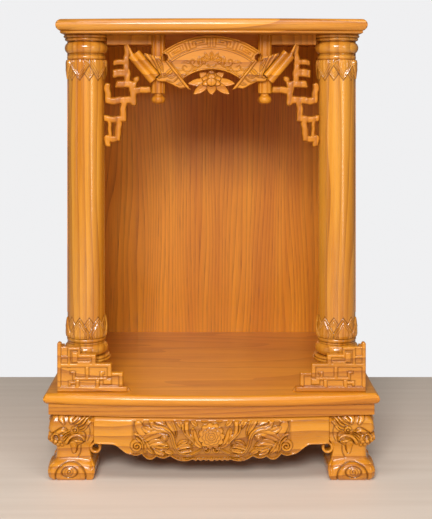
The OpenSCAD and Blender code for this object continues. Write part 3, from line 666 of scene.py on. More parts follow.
def volute(x, z, outer, inner, start, turns):
    """Points of a spiral round (x, z) from its outer end inwards; angles in degrees."""
    count = max(int(abs(turns) * 10), 6)
    return [(x + (outer + (inner - outer) * i / count) * math.cos(math.radians(start + 360 * turns * i / count)),
             z + (outer + (inner - outer) * i / count) * math.sin(math.radians(start + 360 * turns * i / count)))
            for i in range(count + 1)]


def nearest(line, x, z):
    """Distance to a line and how far along it, from 0 to 1, the nearest point lies."""
    best, along, run = np.full(x.shape, 1e6), np.zeros(x.shape), 0.0
    lengths = np.hypot(*np.diff(line, axis=0).T)
    for (ax, az), (bx, bz), length in zip(line, line[1:], lengths):
        t = np.clip(((x - ax) * (bx - ax) + (z - az) * (bz - az)) / max(length * length, 1e-9), 0, 1)
        away = np.hypot(x - ax - t * (bx - ax), z - az - t * (bz - az))
        closer = away < best
        best = np.where(closer, away, best)
        along = np.where(closer, (run + t * length) / lengths.sum(), along)
        run += length
    return best, along


def lay(height, shade, inside, body, soft=0.6, gap=0.5):
    """Lays a carved form over what is there: body is its height where inside is over 0."""
    cover = step01(inside / soft)
    height = height * (1 - cover) + (0.25 * np.clip(height, 0, None) + body) * cover
    shade = shade * (1 - cover)
    return height, np.maximum(shade, 0.9 * np.exp(-((inside + 0.35) / gap) ** 2))


def carve(x, z, height, shade, forms):
    """Lays stems, leaves, knobs and grooves over a ground. A form is (kind, half width,
    lift or depth, points)."""
    for kind, wide, lift, points in forms:
        line = smooth_line(points) if len(points) > 1 else np.array([points[0], points[0]], float)
        box = (line.min(axis=0) - wide - 2, line.max(axis=0) + wide + 2)
        here = (x > box[0][0]) & (x < box[1][0]) & (z > box[0][1]) & (z < box[1][1])
        if not here.any():
            continue
        away, along = nearest(line, x[here], z[here])
        if kind == "groove":
            cut = np.exp(-(away / wide) ** 2)
            height[here] -= lift * cut
            shade[here] = np.maximum(shade[here], 0.9 * cut)
            continue
        if kind == "stem":
            half = wide * (1 - 0.45 * along)
        elif kind == "leaf":
            half = wide * np.sin(np.pi * np.clip(0.06 + 0.94 * along, 0, 0.999) ** 0.75) ** 0.8 + 0.05
        else:
            half = np.full(away.shape, wide)
        share = np.clip(away / np.maximum(half, 1e-3), 0, 1)
        body = lift * np.sqrt(1 - share ** 2) ** 0.8
        dark = np.zeros(away.shape)
        if kind == "leaf":
            vein = np.exp(-(away / 0.55) ** 2) * (along < 0.9)
            body = lift * (0.45 + 0.55 * share) * np.clip((1 - share) * 5, 0, 1) ** 0.5 - 0.5 * lift * vein
            dark = 0.6 * vein
        new_height, new_shade = lay(height[here], shade[here], half - away, body)
        height[here] = new_height
        shade[here] = np.maximum(new_shade, dark * (half > away))
    return height, shade


# Meander keys of the fan's upper band: [from, to] across as a share of half the fan, then
# [from, to] up the band as a share of its height
KEY_BARS = [
    (0.035, 0.075, 0.10, 0.90), (0.10, 0.44, 0.78, 0.90), (0.10, 0.14, 0.30, 0.90), (0.10, 0.30, 0.30, 0.42),
    (0.26, 0.30, 0.30, 0.62), (0.19, 0.30, 0.54, 0.64), (0.40, 0.44, 0.16, 0.90), (0.34, 0.44, 0.16, 0.28),
    (0.34, 0.38, 0.16, 0.64), (0.475, 0.515, 0.08, 0.92), (0.55, 0.92, 0.78, 0.90), (0.55, 0.59, 0.14, 0.90),
    (0.55, 0.90, 0.14, 0.26), (0.86, 0.90, 0.14, 0.68), (0.66, 0.90, 0.56, 0.68), (0.66, 0.70, 0.36, 0.68),
    (0.66, 0.80, 0.36, 0.46),
]
# Leaves of the lower band, [across from the middle, up from the inner edge], as an arc's length
FAN_FORMS = [
    ("stem", 1.0, 1.2, [(3, 15), (8, 20), (14, 17), (15, 11), (11, 9), (9.5, 12), (12, 13.5)]),
    ("stem", 1.0, 1.2, [(14, 10), (22, 6), (30, 10), (32, 16), (28, 19), (25, 16), (28, 13.5)]),
    ("stem", 0.9, 1.1, [(31, 8), (38, 5), (45, 8), (46, 14), (42, 16), (40, 12)]),
    ("leaf", 2.4, 1.4, [(2, 14), (1, 20), (0, 27)]),
    ("leaf", 2.2, 1.4, [(3, 15), (7, 20), (9, 26)]), ("leaf", 2.0, 1.3, [(5, 13), (12, 15), (18, 21)]),
    ("leaf", 1.8, 1.2, [(20, 9), (20, 15), (17, 21)]), ("leaf", 1.8, 1.2, [(33, 16), (38, 20), (44, 21)]),
    ("leaf", 1.8, 1.2, [(24, 7), (30, 4), (36, 4)]), ("leaf", 1.6, 1.2, [(46, 12), (51, 14), (54, 20)]),
    ("leaf", 1.6, 1.2, [(8, 8), (4, 5), (1, 6)]), ("leaf", 1.6, 1.1, [(40, 6), (46, 3), (53, 6)]),
]


def fan_relief(angle, radius):
    """Height and shadow of the carving on the fan at an angle and a radius."""
    across = np.abs(angle)
    arc = across * 85.0
    height = np.zeros(angle.shape)
    shade = np.zeros(angle.shape)
    edge = np.minimum(np.minimum(FAN_R - radius, radius - FAN_IN_R), (FAN_HALF - across) * radius)
    lower = radius < FAN_BAND_R
    up = radius - FAN_IN_R
    low_height, low_shade = carve(arc, up, np.zeros(angle.shape), np.zeros(angle.shape), FAN_FORMS)
    keys = np.full(angle.shape, -99.0)
    share = across / FAN_HALF
    rise = (radius - FAN_BAND_R - 1.5) / (FAN_R - FAN_BAND_R - 3.5)
    for x0, x1, z0, z1 in KEY_BARS:
        keys = np.maximum(keys, np.minimum(np.minimum(share - x0, x1 - share) * FAN_HALF * 110,
                                           np.minimum(rise - z0, z1 - rise) * 15.5))
    key_height = 1.3 * step01(keys / 0.8 + 0.9)
    key_shade = 0.75 * np.exp(-((keys + 1.0) / 0.42) ** 2)
    height = np.where(lower, low_height, key_height)
    shade = np.where(lower, 0.6 * low_shade, key_shade)
    for line_r, wide in ((FAN_BAND_R, 1.1), (FAN_R - 0.9, 1.0), (FAN_IN_R + 0.9, 1.0)):
        height = np.maximum(height, 1.4 * step01((wide - np.abs(radius - line_r)) / 0.5 + 0.5))
        shade = np.maximum(shade, 0.8 * np.exp(-((np.abs(radius - line_r) - wide - 0.4) / 0.45) ** 2))
    side = (FAN_HALF - across) * radius
    height = np.maximum(height, 1.4 * step01((1.5 - side) / 0.5 + 0.5))
    shade = np.maximum(shade, 0.8 * np.exp(-((side - 2.2) / 0.5) ** 2))
    return height - 0.8 * (1 - step01(edge / 0.7)), shade * (edge > 0.9)


def fan_front(u, w, edge):
    angle, radius = u / 100.0, w
    height, shade = fan_relief(angle, radius)
    return radius * np.sin(angle), FAN_FRONT + 1.6 - np.clip(height, -0.5, 1.6), FAN_Z + radius * np.cos(angle), shade


def fan_rear(u, w, edge):
    return w * np.sin(u / 100.0), np.full(u.shape, FAN_BACK), FAN_Z + w * np.cos(u / 100.0), np.zeros(u.shape)


def fan_outline(u, w):
    """The fan has a round notch at both upper corners, shared with the ribbon ends."""
    return np.hypot(w * np.sin(np.abs(u) / 100) - NOTCH[0], w * np.cos(u / 100) - NOTCH[1]) - NOTCH[2]


half = FAN_HALF * 100
slab = carved_slab((-half, half, FAN_IN_R, FAN_R), 0.62, fan_outline, fan_front, fan_rear)
finish_piece(slab, "fan_plaque", PLAQUE_WOOD, ("fan_panel",), 60)

ROLL_TILT = math.radians(40)
ROLL_R, ROLL_L = 5.6, 50.0
ROLL_FOOT = (87.5, 52.0)
RIBBON_EDGE = [(50, 76.7), (63, 74), (71, 74.5), (80, 77.5), (89, 79), (84, 66), (66.7, 43.3), (56.7, 42.9), (47.5, 38.3), (39.2, 33.8),
               (33.3, 35), (25, 32)]
RIBBON_FORMS = [
    ("stem", 2.6, 1.7, [(104, 93), (94, 80), (86, 67), (80, 58)]), ("stem", 2.4, 1.7, [(96, 91), (88, 79), (82, 66), (78, 57)]),
    ("stem", 2.2, 1.7, [(88, 89), (83, 80), (78, 68), (75, 58)]), ("leaf", 3.0, 1.5, [(80, 84), (76, 76), (72, 66)]),
    ("leaf", 3.4, 1.6, [(58, 70), (64, 64), (72, 57)]),
    ("stem", 1.0, 1.3, [(47, 62), (52, 55), (58, 51), (66, 53)]), ("stem", 0.9, 1.2, [(75, 78), (80, 72), (83, 64)]),
    ("leaf", 2.2, 1.3, [(42, 52), (46, 48), (52, 47)]), ("leaf", 2.0, 1.2, [(55, 60), (61, 58), (66, 60)]),
    ("knob", 1.6, 1.3, [(70, 62)]),
]


def polygon_field(points, x, z):
    """Distance inside a polygon's edge, negative outside it."""
    away, odd = np.full(x.shape, 1e6), np.zeros(x.shape, bool)
    for (ax, az), (bx, bz) in zip(points, points[1:] + points[:1]):
        length = (bx - ax) ** 2 + (bz - az) ** 2
        t = np.clip(((x - ax) * (bx - ax) + (z - az) * (bz - az)) / max(length, 1e-9), 0, 1)
        away = np.minimum(away, np.hypot(x - ax - t * (bx - ax), z - az - t * (bz - az)))
        crosses = (az > z) != (bz > z)
        odd ^= crosses & (x < (bx - ax) * (z - az) / (bz - az + (bz == az)) + ax)
    return np.where(odd, away, -away)


def ribbon_outline(x, z):
    edge = [(1.2 * px, 1.2 * pz) for px, pz in RIBBON_EDGE]
    inside = polygon_field(edge, x, z)
    inside = np.minimum(inside, x * math.cos(FAN_HALF) - z * math.sin(FAN_HALF) - 0.2)
    inside = np.minimum(inside, np.hypot(x - NOTCH[0], z - NOTCH[1]) - NOTCH[2])
    for index in (0, 1):
        bx = ROLL_FOOT[0] - 1.64 * index * ROLL_R * math.cos(ROLL_TILT)
        bz = ROLL_FOOT[1] + 1.64 * index * ROLL_R * math.sin(ROLL_TILT)
        across = (x - bx) * math.cos(ROLL_TILT) - (z - bz) * math.sin(ROLL_TILT)
        along = (x - bx) * math.sin(ROLL_TILT) + (z - bz) * math.cos(ROLL_TILT)
        inside = np.minimum(inside, -box_field(across, along, -ROLL_R - 0.3, ROLL_R + 0.3, -0.3, ROLL_L + 0.3))
    return inside


def ribbon_face(hand):
    def front(x, z, edge):
        height, shade = carve(x, z, np.zeros(x.shape), np.zeros(x.shape), RIBBON_FORMS)
        side = x * math.cos(FAN_HALF) - z * math.sin(FAN_HALF)
        strip = 1.8 * step01((3.4 - side) / 0.6 + 0.5)
        height = np.maximum(height, strip)
        shade = np.maximum(shade * (side > 3.6), 0.9 * np.exp(-((side - 4.2) / 0.6) ** 2))
        ring = np.hypot(x - NOTCH[0], z - NOTCH[1]) - NOTCH[2]
        height = np.maximum(height, 1.4 * step01((1.8 - ring) / 0.5 + 0.5))
        height = height - 0.9 * (1 - step01(edge / 0.9))
        return hand * x, FAN_FRONT + 3.6 - np.clip(height, -0.6, 2.2), FAN_Z + z, shade
    return front


for side, hand in (("left", -1), ("right", 1)):
    def ribbon_rear(x, z, edge, hand=hand):
        return hand * x, np.full(x.shape, FAN_BACK), FAN_Z + z, np.zeros(x.shape)
    slab = carved_slab((24, 100, 36, 112), 0.7, ribbon_outline, ribbon_face(hand), ribbon_rear)
    finish_piece(slab, f"ribbon_end_{side}", PLAQUE_WOOD, (f"ribbon_{side}",), 60)
    eased_copy(f"scrolls_{side}", f"rolled_scrolls_{side}", PLAQUE_WOOD, 0.0006)

LOTUS_Z = FAN_Z + FAN_IN_R - 0.245 * FAN_IN_R
LOTUS_LOW, LOTUS_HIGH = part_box("lotus")
# Petals of the lotus from the rear to the front: turn from upright, length, width, start, lift
LOTUS_PETALS = [
    (0, 16.7, 12.0, 0.0, 2.0), (57, 22.0, 12.0, 0.0, 2.4), (97, 36.0, 12.0, 0.0, 2.6), (127, 34.0, 12.0, 0.0, 3.2),
    (180, 21.0, 14.0, 0.0, 3.8), (30, 13.0, 10.0, 0.0, 5.0), (75, 15.0, 10.0, 0.0, 5.6), (0, 11.0, 11.0, 0.0, 6.4),
    (112, 15.0, 9.0, 0.0, 6.6),
]


def petal_field(x, z, turn, length, width):
    """Distance inside a pointed petal that leaves the heart at an angle from upright."""
    across = np.abs(x * math.cos(turn) - z * math.sin(turn))
    along = x * math.sin(turn) + z * math.cos(turn)
    radius = (length * length + width * width) / (4 * width)
    return radius - np.hypot(across + radius - width / 2, along - length / 2)


def lotus_outline(x, z):
    inside = 11.0 - np.hypot(x, z)
    for turn, length, width, _, _ in LOTUS_PETALS[:5]:
        inside = np.maximum(inside, petal_field(np.abs(x), z, math.radians(turn), length, width))
    return inside


def lotus_front(x, z, edge):
    height, shade = np.full(x.shape, 1.0), np.zeros(x.shape)
    for turn, length, width, _, lift in LOTUS_PETALS:
        turn = math.radians(turn)
        inside = petal_field(np.abs(x), z, turn, length, width)
        along = (np.abs(x) * math.sin(turn) + z * math.cos(turn)) / length
        cup = lift * (0.72 + 0.28 * np.exp(-(inside / 1.1) ** 2)) - 1.2 * np.clip(along, 0, 1)
        vein = 0.35 * np.exp(-((inside - width * 0.45) / 0.6) ** 2)
        cover = step01(inside / 0.6)
        height = height * (1 - cover) + (cup - vein) * cover
        shade = np.maximum(shade * (1 - cover), 0.95 * np.exp(-((inside + 0.3) / 0.5) ** 2))
    bud = 7.0 - np.hypot(x, (z + 2.0) * 1.15)
    cover = step01(bud / 0.6)
    height = height * (1 - cover) + (7.0 + 0.9 * np.sqrt(np.clip(bud, 0, 9) / 7)) * cover
    shade = np.maximum(shade * (1 - cover), 0.95 * np.exp(-((bud + 0.3) / 0.5) ** 2))
    seam = np.exp(-(x / 0.5) ** 2) * (bud > 0.5)
    height = height - 0.5 * seam - 0.9 * (1 - step01(edge / 0.9))
    return x, LOTUS_HIGH[1] / MM - 2.0 - np.clip(height, 0.1, 8.0), LOTUS_Z + z, np.maximum(shade, 0.5 * seam) * (edge > 0.4)


def lotus_rear(x, z, edge):
    return x, np.full(x.shape, LOTUS_HIGH[1] / MM), LOTUS_Z + z, np.zeros(x.shape)


slab = carved_slab((-38, 38, -25, 19), 0.6, lotus_outline, lotus_front, lotus_rear)
finish_piece(slab, "lotus_flower", PLAQUE_WOOD, ("lotus",), 60)

# The carved base: a swelling front apron with scrolling leaves round a full flower, plain
# aprons at the sides and back, and four cabriole feet with a beast's mask at the knee.
CARVED_WOOD = lacquered_wood("carved_base_wood", "x", (0.70, 0.285, 0.020), (0.56, 0.192, 0.009), DARK_TONE,
                             rings=12, wave=5.0, seed=12.5, roughness=0.26, painted_carving_shade=True)
BASE_LOW, BASE_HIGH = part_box("base_top")
BASE_HALF = BASE_HIGH[0] / MM
BOW = 15.0
Y_MID = BASE_LOW[1] / MM
BOW_R = (BASE_HALF ** 2 + BOW ** 2) / (2 * BOW)
BOW_Y = -215.0 + BOW_R
FRIEZE_R = BOW_R - 8.5
FRIEZE_HALF = BASE_HALF - 6.5
APRON_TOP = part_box("apron_front")[1][2] / MM
FOOT_W = 67.0
FOOT_IN = FRIEZE_HALF - FOOT_W
APRON_END, APRON_LOW, PEARL_D = 55.0, 29.0, 6.6
APRON_T, SWELL_R = 24.0, 90.0
CUSPS = [(0.684, 0.385), (0.594, 0.438), (0.467, 0.296), (0.352, 0.327), (0.158, 0.123)]
LOBE_DROPS = (0.10, 0.308, 0.154, 0.246)


def bend(a, b, c, count):
    """Points of a curve from a to c that bends towards b, without its end."""
    return [tuple((1 - t) ** 2 * pa + 2 * t * (1 - t) * pb + t * t * pc for pa, pb, pc in zip(a, b, c))
            for t in (i / count for i in range(count))]


def lobe(a, b, drop):
    return bend(a, ((a[0] + b[0]) / 2, (a[1] + b[1]) / 2 - 2 * drop), b, 10)


def apron_edge():
    """The lower edge of the front apron's right half, from the foot to the middle."""
    dip = APRON_END - APRON_LOW
    low = [(cx * FOOT_IN, APRON_LOW + cz * dip) for cx, cz in CUSPS]
    start, stop = (0.846 * FOOT_IN, APRON_END), (low[0][0] + 1, low[0][1])
    points = [(start[0] + (stop[0] - start[0]) * i / 12,
               start[1] + (stop[1] - start[1]) * (1 - math.cos(math.pi * i / 12)) / 2) for i in range(13)]
    for index, drop in enumerate(LOBE_DROPS):
        points += lobe(low[index], low[index + 1], drop * dip)
    pitch = 2 * low[4][0] / 7
    for index in range(3):
        points += lobe((low[4][0] - index * pitch, low[4][1]), (low[4][0] - (index + 1) * pitch, low[4][1]),
                       0.4 * PEARL_D)
    last = (low[4][0] - 3 * pitch, low[4][1])
    return points + bend(last, (pitch / 4, low[4][1] - 0.8 * PEARL_D), (0.0, low[4][1] - 0.4 * PEARL_D), 6)


APRON_HALF = [(FOOT_IN, APRON_TOP), (FOOT_IN, APRON_END)] + apron_edge() + [(0.0, 29.6)]
APRON_SHAPE = APRON_HALF + [(-x, z) for x, z in reversed(APRON_HALF)]
S_BAND = [(88, 91), (85.5, 84.5), (79, 81.5), (73.6, 81.1), (66.9, 78.6), (60.1, 73.5), (56.7, 65.9), (55, 57.4),
          (51.6, 49), (46.6, 42.4), (38.1, 38.9), (28.8, 39.7), (19.5, 44.7), (11.9, 49.8), (6, 52.5)]
# Carving of the apron's half, [from the middle, up]
APRON_FORMS = [
    ("stem", 7.5, 1.5, [(105, 97), (106.5, 87), (104, 77), (98, 68)]),
    ("groove", 0.9, 1.7, [(109, 94), (113.4, 86), (113.8, 77.7), (110.8, 70), (110.9, 65.9)]),
    ("groove", 0.8, 1.3, [(105, 92), (99, 84), (96.5, 79)]),
    ("leaf", 5.4, 2.2, [(99, 81), (92, 77.4), (84, 76.4), (74, 80)]),
    ("leaf", 6.4, 2.3, [(99, 63), (90, 68.5), (80, 72.5), (70, 74), (61, 69)]),
    ("leaf", 5.8, 2.2, [(93, 55), (85, 59), (74, 60), (62, 54)]),
    ("knob", 5.4, 2.7, [(68.6, 66.4)]), ("knob", 2.8, 3.4, [(68.6, 66.4)]),
    ("leaf", 4.2, 2.3, [(97, 61), (93.5, 51), (88.5, 44.5), (83, 39)]),
    ("leaf", 3.8, 2.3, [(99.5, 60), (98.4, 50), (95, 40)]),
    ("leaf", 4.4, 2.3, [(86, 53), (77, 49), (69, 49.6), (61, 53)]),
    ("leaf", 4.6, 2.3, [(83, 48), (75, 42.5), (66, 40)]), ("leaf", 3.8, 2.1, [(68, 47), (61, 43.5), (55, 40)]),
    ("leaf", 6.2, 2.1, [(84, 96), (74, 91), (66, 85)]), ("leaf", 5.0, 2.0, [(66, 96), (60, 87), (55, 78), (53, 70)]),
    ("stem", 1.5, 2.6, [(58, 94), (53.3, 83), (50.8, 75), (51.8, 67)]),
    ("leaf", 4.2, 2.1, [(51, 96), (46.5, 88), (44, 79)]), ("leaf", 4.0, 2.3, [(48, 56.5), (41, 60.5), (33, 62.5)]),
    ("leaf", 4.0, 2.3, [(51, 49.5), (43, 53), (34, 54.5), (27, 52)]),
    ("leaf", 3.6, 2.2, [(45, 45), (36, 46.5), (26, 48.5)]),
    ("leaf", 5.6, 2.5, [(27, 79), (25.5, 67), (19, 56.5), (9, 51)]), ("leaf", 3.8, 2.2, [(29, 93), (25, 88), (20, 83)]),
    ("leaf", 3.4, 2.2, [(17, 96), (12, 92), (5, 91)]),
    ("stem", 3.6, 3.2, [(36.4, 90.5), (36.4, 80), (34, 71), (27, 62.5)]),
    ("groove", 0.9, 1.6, [(31.6, 90), (31.8, 79), (29.8, 71.5)]),
    ("stem", 1.7, 3.0, [(41.5, 86), (41, 77), (35.5, 69.5), (29, 64), (26.3, 59.5), (29.5, 56)]),
    ("stem", 1.7, 2.9, volute(7.2, 47.6, 4.4, 0.8, 160, 1.3)),
    ("stem", 3.6, 2.6, S_BAND), ("groove", 0.75, 1.5, S_BAND[1:]),
    ("stem", 1.7, 2.6, [(66, 37.6), (55, 33.8), (45, 32.4), (36, 33.6), (28, 36.8)]),
    ("stem", 2.6, 3.2, volute(109.0, 53.2, 8.8, 1.2, 110, -1.8)),
    ("stem", 2.0, 3.0, [(111.5, 72), (106, 69.5), (100.7, 63.8), (98.6, 57)]),
    ("stem", 1.8, 3.0, [(109, 66), (103.6, 61.5), (100.6, 55), (100, 48)]),
]
FLOWER_Z = 69.5
# Rings of the flower's petals from the outermost: radius, number of petals, lift, first angle
FLOWER_RINGS = [(19.5, 11, 2.4, 0.0), (13.6, 9, 3.0, 0.2), (9.2, 7, 3.4, 0.0), (5.6, 5, 3.8, 0.4), (2.6, 3, 4.1, 0.0)]


def apron_distance(z):
    """Distance of the apron's swelling face from the line that the bowed fronts share."""
    rise = np.clip(z - (APRON_TOP - 22), -SWELL_R + 1, SWELL_R - 1)
    return FRIEZE_R - 2 - (SWELL_R - np.sqrt(SWELL_R ** 2 - rise ** 2))


def apron_outline(x, z):
    return polygon_field(APRON_SHAPE, x, z)


def apron_relief(x, z, edge):
    across = np.abs(x)
    hold = step01((118.0 - across) / 4.0)
    # Painted shade: the sunk ground gets painted shade, with more in the hollows of its cross-hatch.
    hatch = step01(np.abs(np.sin(1.3 * (x + z)) * np.sin(1.3 * (x - z))) * 2 - 0.5)
    height = (-1.3 - 0.3 * hatch) * hold
    shade = (0.25 + 0.3 * hatch) * hold
    height, shade = carve(across, z, height, shade, APRON_FORMS)
    polar = np.arctan2(z - FLOWER_Z, x)
    radius = np.hypot(x, z - FLOWER_Z)
    for reach, count, lift, turn in FLOWER_RINGS:
        scallop = np.abs(np.cos((polar + turn) * count / 2)) ** 0.6
        inside = reach * (0.80 + 0.20 * scallop) - radius
        body = lift - 0.9 * np.clip(radius / reach, 0, 1) ** 2 + 0.5 * np.exp(-((inside - 0.9) / 0.6) ** 2)
        body = body - 0.4 * np.exp(-((scallop - 0.12) / 0.16) ** 2)
        cover = step01(inside / 0.6)
        height = height * (1 - cover) + body * cover
        shade = np.maximum(shade * (1 - cover), 0.95 * np.exp(-((inside + 0.35) / 0.5) ** 2))
    for index in range(4):
        pearl = PEARL_D / 2 - np.hypot(across - index * 7.8, z - 32.0)
        height, shade = lay(height, shade, pearl, 2.6 * np.sqrt(np.clip(pearl, 0, 3.3) / 3.3))
    lower = np.where(z < APRON_TOP - 6, edge, 50.0)
    lower = np.where(across > FOOT_IN - 4, 50.0, lower)
    rim = step01((2.2 - lower) / 0.7 + 0.5)
    height = height * (1 - rim) + 1.3 * rim
    shade = shade * (1 - rim)
    shade = np.maximum(shade, 0.75 * np.exp(-((lower - 3.1) / 0.6) ** 2) * hold)
    top = step01((APRON_TOP - 5.5 - z) / 2.0)
    height = height * top
    return height - 1.0 * (1 - step01(edge / 1.0)), shade * top * (edge > 0.9)


def apron_face(x, z, edge):
    height, shade = apron_relief(x, z, edge)
    rise = z - APRON_TOP + 7.0
    shoulder = 0.45 * (rise + np.sqrt(rise ** 2 + 1.0)) / 2
    reach = apron_distance(z) + np.clip(height, -1.8, 3.6) - shoulder
    return x, BOW_Y - np.sqrt(reach ** 2 - x ** 2), z, shade


def apron_rear(x, z, edge):
    reach = FRIEZE_R - 2 - APRON_T
    return x, BOW_Y - np.sqrt(reach ** 2 - x ** 2), z, np.zeros(x.shape)


slab = carved_slab((-FOOT_IN, FOOT_IN, 24, APRON_TOP), 0.80, apron_outline, apron_face, apron_rear)
finish_piece(slab, "carved_apron_front", CARVED_WOOD, ("apron_front",), 60)
for node in ("apron_left", "apron_right", "apron_back"):
    eased_copy(node, f"plain_{node}", CARVED_WOOD, 0.0008)

# How far a foot's outer face stands in from the frieze at each height
FOOT_FACE = [(0, 3.4), (2, 1.6), (6, -0.6), (12, -1.5), (17, -1.3), (21, -0.4), (24, 1.4), (26.5, 4.4), (28.5, 7.6),
             (31, 9.2), (36, 9.7), (43, 9.7), (48, 8.0), (53, 4.4), (57, 1.4), (60, 0.7), (64, 0.9), (67, 1.9), (70, 1.0),
             (73, -0.4), (79, -0.8), (86, 0.2), (92, 2.8), (97, 6.2)]
FOOT_FLANK = [(0, 64), (4, 66.4), (14, 68.2), (22, 67.4), (30, 62.6), (42, 60.2), (52, 62.0), (60, 66.4), (68, 67),
              (97, 67)]
# The beast's mask, [from the outer corner, up]
MASK_FORMS = [
    ("stem", 4.8, 2.2, [(19.5, 97), (18.5, 91), (22.5, 84.5)]), ("stem", 4.8, 2.0, [(36, 97), (32.5, 91), (34, 85.5)]),
    ("stem", 3.2, 2.2, [(45, 97), (41.5, 91.5), (37, 87)]),
    ("stem", 2.3, 2.6, [(55, 96), (50, 90.5), (45, 86), (38.5, 82.5)]),
    ("stem", 2.3, 2.7, [(61, 96), (55, 90), (50.5, 84), (44.5, 81)]),
    ("stem", 2.1, 2.6, [(59.5, 89), (56, 83.5), (51.5, 79), (45.5, 77)]),
    ("stem", 1.9, 2.3, [(57.5, 81.5), (53, 76), (47.5, 73.5)]),
    ("stem", 2.6, 2.9, [(67, 90), (62, 87.5), (58.5, 83.5)]),
    ("groove", 1.0, 1.8, [(3, 66.5), (8, 70.5), (12.6, 74), (18.5, 77.6), (24.4, 77.6), (28.5, 73.5)]),
    ("stem", 3.4, 2.0, [(14.5, 70.5), (20, 73.4), (26, 71.5)]),
    ("stem", 1.9, 3.0, [(6.2, 59.8), (5.6, 64), (8.6, 68), (13, 67.6), (15.8, 64), (15.2, 60)]),
    ("groove", 1.5, 2.0, [(8.2, 62), (10.8, 64.4), (13.4, 62)]),
    ("knob", 3.4, 1.8, [(3.2, 56.4)]), ("knob", 3.2, 2.2, [(10.4, 57)]), ("knob", 3.2, 1.9, [(17, 56)]),
    ("knob", 3.2, 1.6, [(13.5, 51.2)]), ("knob", 3.0, 1.4, [(7, 51.0)]), ("knob", 2.6, 1.3, [(19, 50.6)]),
    ("stem", 1.5, 2.4, [(21.0, 67.6), (26, 71.6), (32, 74)]), ("stem", 1.5, 2.4, [(21.8, 63.8), (26.6, 68), (32, 70.6)]),
    ("stem", 1.5, 2.4, [(22.8, 60), (27.5, 64.4), (31.6, 67)]), ("stem", 1.4, 2.2, [(23.8, 56.4), (27.8, 60.4), (30.6, 62.6)]),
    ("stem", 2.6, 2.6, [(26.0, 54.5), (30.5, 62.5), (37.5, 66.4), (45.5, 66.2), (51.5, 62.5), (53, 58)]),
    ("groove", 0.9, 2.2, [(27.6, 51.4), (31.8, 58.4), (37.3, 61.5), (43.8, 61.5), (50, 59)]),
    ("stem", 2.6, 1.8, [(33.5, 55.6), (40.5, 57.6), (49, 56.6)]),
    ("groove", 0.9, 1.8, [(52.2, 57), (50.5, 54.4), (46.3, 51.2), (42.4, 48.7), (41, 43), (38, 38)]),
    ("stem", 5.2, 1.9, [(36.2, 53), (36.4, 46), (36.6, 40)]),
    ("groove", 0.9, 1.2, [(46.8, 50), (46.2, 40), (42.8, 32)]),
    ("groove", 1.0, 1.6, [(50, 73.5), (53.4, 69), (54.6, 63), (53.6, 58.4), (51.5, 55.6)]),
    ("groove", 0.9, 1.0, [(59, 81), (61, 74), (60.2, 65), (57, 58)]),
    ("stem", 1.7, 3.0, volute(39.6, 74.4, 5.0, 1.0, 150, -1.4)), ("knob", 1.8, 3.4, [(39.6, 74.4)]),
]
TOE_FORMS = [("stem", 1.7, 1.5, volute(31.5, 12.8, 5.6, 0.9, 215, -1.3))]


def along_height(profile, z):
    line = smooth_line(profile)
    return np.interp(z, line[:, 0], line[:, 1])


def mask_relief(u, z):
    """Height and shadow of the carving on a foot's outer face."""
    hold = step01((z - 46.0) / 8.0)
    height, shade = carve(u, z, -0.9 * hold, 0.10 * hold, MASK_FORMS)
    outer = (np.hypot((u - 32.6) / 22.3, (z - 6) / 20.6) - 1) * 20
    inner = (np.hypot((u - 31.2) / 11.4, (z - 12.6) / 8.4) - 1) * 9.5
    toe = step01((29.0 - z) / 3.0)
    for ring, depth in ((outer, 2.3), (inner, 2.0)):
        cut = toe * np.exp(-(ring / 1.1) ** 2)
        height -= depth * cut
        shade = np.maximum(shade, 0.9 * cut)
    height += toe * 1.5 * np.exp(-((outer + 5.0) / 2.6) ** 2) * step01((z - 2) / 4)
    height -= toe * 1.6 * (step01((5.0 - u) / 6) + step01((u - 59.5) / 5))
    droop = 5.0 * ((u - 32.6) / 33) ** 2
    height += (along_height(FOOT_FACE, z) - along_height(FOOT_FACE, z + droop)) * step01((z - 13) / 4) * step01((36 - z) / 4)
    height, shade = carve(u, z, height, shade, TOE_FORMS)
    return height, shade


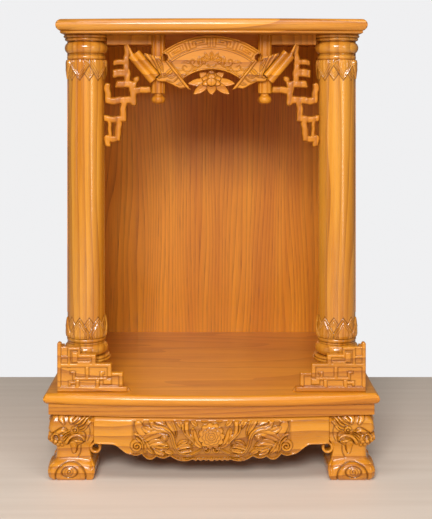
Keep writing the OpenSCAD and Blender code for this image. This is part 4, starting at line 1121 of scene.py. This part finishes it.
def carved_foot(hand, rear):
    """A foot as a grid wrapped round it: both outer faces carved, the inner ones plain."""
    wide, fine = 7.4, 2.4
    runs = [72, 12, 72, 3, 10, 3, 10, 3]
    starts = np.cumsum([0] + runs)
    levels = 110
    bm = bmesh.new()
    bmesh.ops.create_grid(bm, x_segments=int(starts[-1]), y_segments=levels, size=0.5)
    # Painted shade: the layer named carve, held in depth, stores painted shade in the mask's and toe's grooves and sunk
    # ground, not a depth.
    depth = bm.verts.layers.float.new("carve")
    verts = list(bm.verts)
    spots = np.array([v.co[:2] for v in verts]) + 0.5
    column, z = spots[:, 0] * starts[-1], spots[:, 1] * APRON_TOP
    a, b = along_height(FOOT_FACE, z), along_height(FOOT_FLANK, z)
    x, y, nx, ny = (np.zeros(z.shape) for _ in range(4))
    zero, one = np.zeros(z.shape), np.ones(z.shape)
    for index, run in enumerate(runs):
        here = (column > starts[index] - 0.5) & (column < starts[index + 1] + 0.5)
        f = np.clip((column - starts[index]) / run, 0, 1)
        turn = f * math.pi / 2
        piece = [
            (a, b - fine + f * (a + wide - b + fine), -one, zero),
            (a + wide - wide * np.cos(turn), a + wide - wide * np.sin(turn), -np.cos(turn), -np.sin(turn)),
            (a + wide + f * (b - fine - a - wide), a, zero, -one),
            (b - fine + fine * np.sin(turn), a + fine - fine * np.cos(turn), np.sin(turn), -np.cos(turn)),
            (b, a + fine + f * (b - a - 2 * fine), one, zero),
            (b - fine + fine * np.cos(turn), b - fine + fine * np.sin(turn), np.cos(turn), np.sin(turn)),
            (b - fine - f * (b - a - 2 * fine), b, zero, one),
            (a + fine - fine * np.sin(turn), b - fine + fine * np.cos(turn), -np.sin(turn), np.cos(turn)),
        ][index]
        x, y, nx, ny = (np.where(here, new, old) for new, old in zip(piece, (x, y, nx, ny)))
    outer = column < starts[3] + 0.5
    u = np.maximum(x, y)
    height, shade = mask_relief(u, z)
    fade = outer * step01((b - fine - u) / 1.5) * step01((APRON_TOP - z) / 1.2)
    height, shade = height * fade, shade * fade
    x, y = x + nx * height, y + ny * height
    for vert, vx, vy, vz, dark in zip(verts, x, y, z, shade):
        face = FRIEZE_BACK - vy if rear else FRIEZE_FRONT + vy
        vert.co = (hand * (FRIEZE_HALF - vx) * MM, face * MM, vz * MM)
        vert[depth] = float(dark)
    bmesh.ops.remove_doubles(bm, verts=bm.verts, dist=1e-6)
    bmesh.ops.holes_fill(bm, edges=bm.edges, sides=0)
    bmesh.ops.recalc_face_normals(bm, faces=bm.faces)
    return bm


FRIEZE_FRONT = BOW_Y - math.sqrt(FRIEZE_R ** 2 - FRIEZE_HALF ** 2)
FRIEZE_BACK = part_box("frieze_back")[1][1] / MM
CURL_AT = (FOOT_W + 1.0, APRON_END - 0.15 - 9.0)
CURL_LINE = smooth_line([(CURL_AT[0] + 6.7 * math.cos(math.radians(t)), CURL_AT[1] + 6.7 * math.sin(math.radians(t)))
                         for t in range(115, 400, 15)])


def curl_outline(x, z):
    away, along = nearest(CURL_LINE, x, z)
    return 2.35 - 0.25 * along - away


def curl_face(hand, rear, sideways, depth):
    def shape(x, z, edge):
        swell = np.sqrt(np.clip(1 - (1 - np.clip(edge / 2.2, 0, 1)) ** 2, 0, 1))
        reach = 8.0 + (2.2 - 2.0 * swell if depth == 0 else depth)
        near, far = (reach, x) if sideways else (x, reach)
        face = FRIEZE_BACK - far if rear else FRIEZE_FRONT + far
        return hand * (FRIEZE_HALF - near), face, z, 0.5 * (1 - np.clip(edge / 1.0, 0, 1))
    return shape


for rear, back_name in ((False, "front"), (True, "back")):
    for side, hand in (("left", -1), ("right", 1)):
        node = f"foot_{back_name}_{side}"
        foot = carved_foot(hand, rear)
        finish_piece(foot, f"carved_{node}", CARVED_WOOD, (node,), 60)
        for sideways, face_name in ((False, "facing"), (True, "side")):
            curl = carved_slab((56, 80, 32, 58), 0.7, curl_outline, curl_face(hand, rear, sideways, 0),
                               curl_face(hand, rear, sideways, 15.0))
            finish_piece(curl, f"{node}_{face_name}_curl", CARVED_WOOD, (), 60)
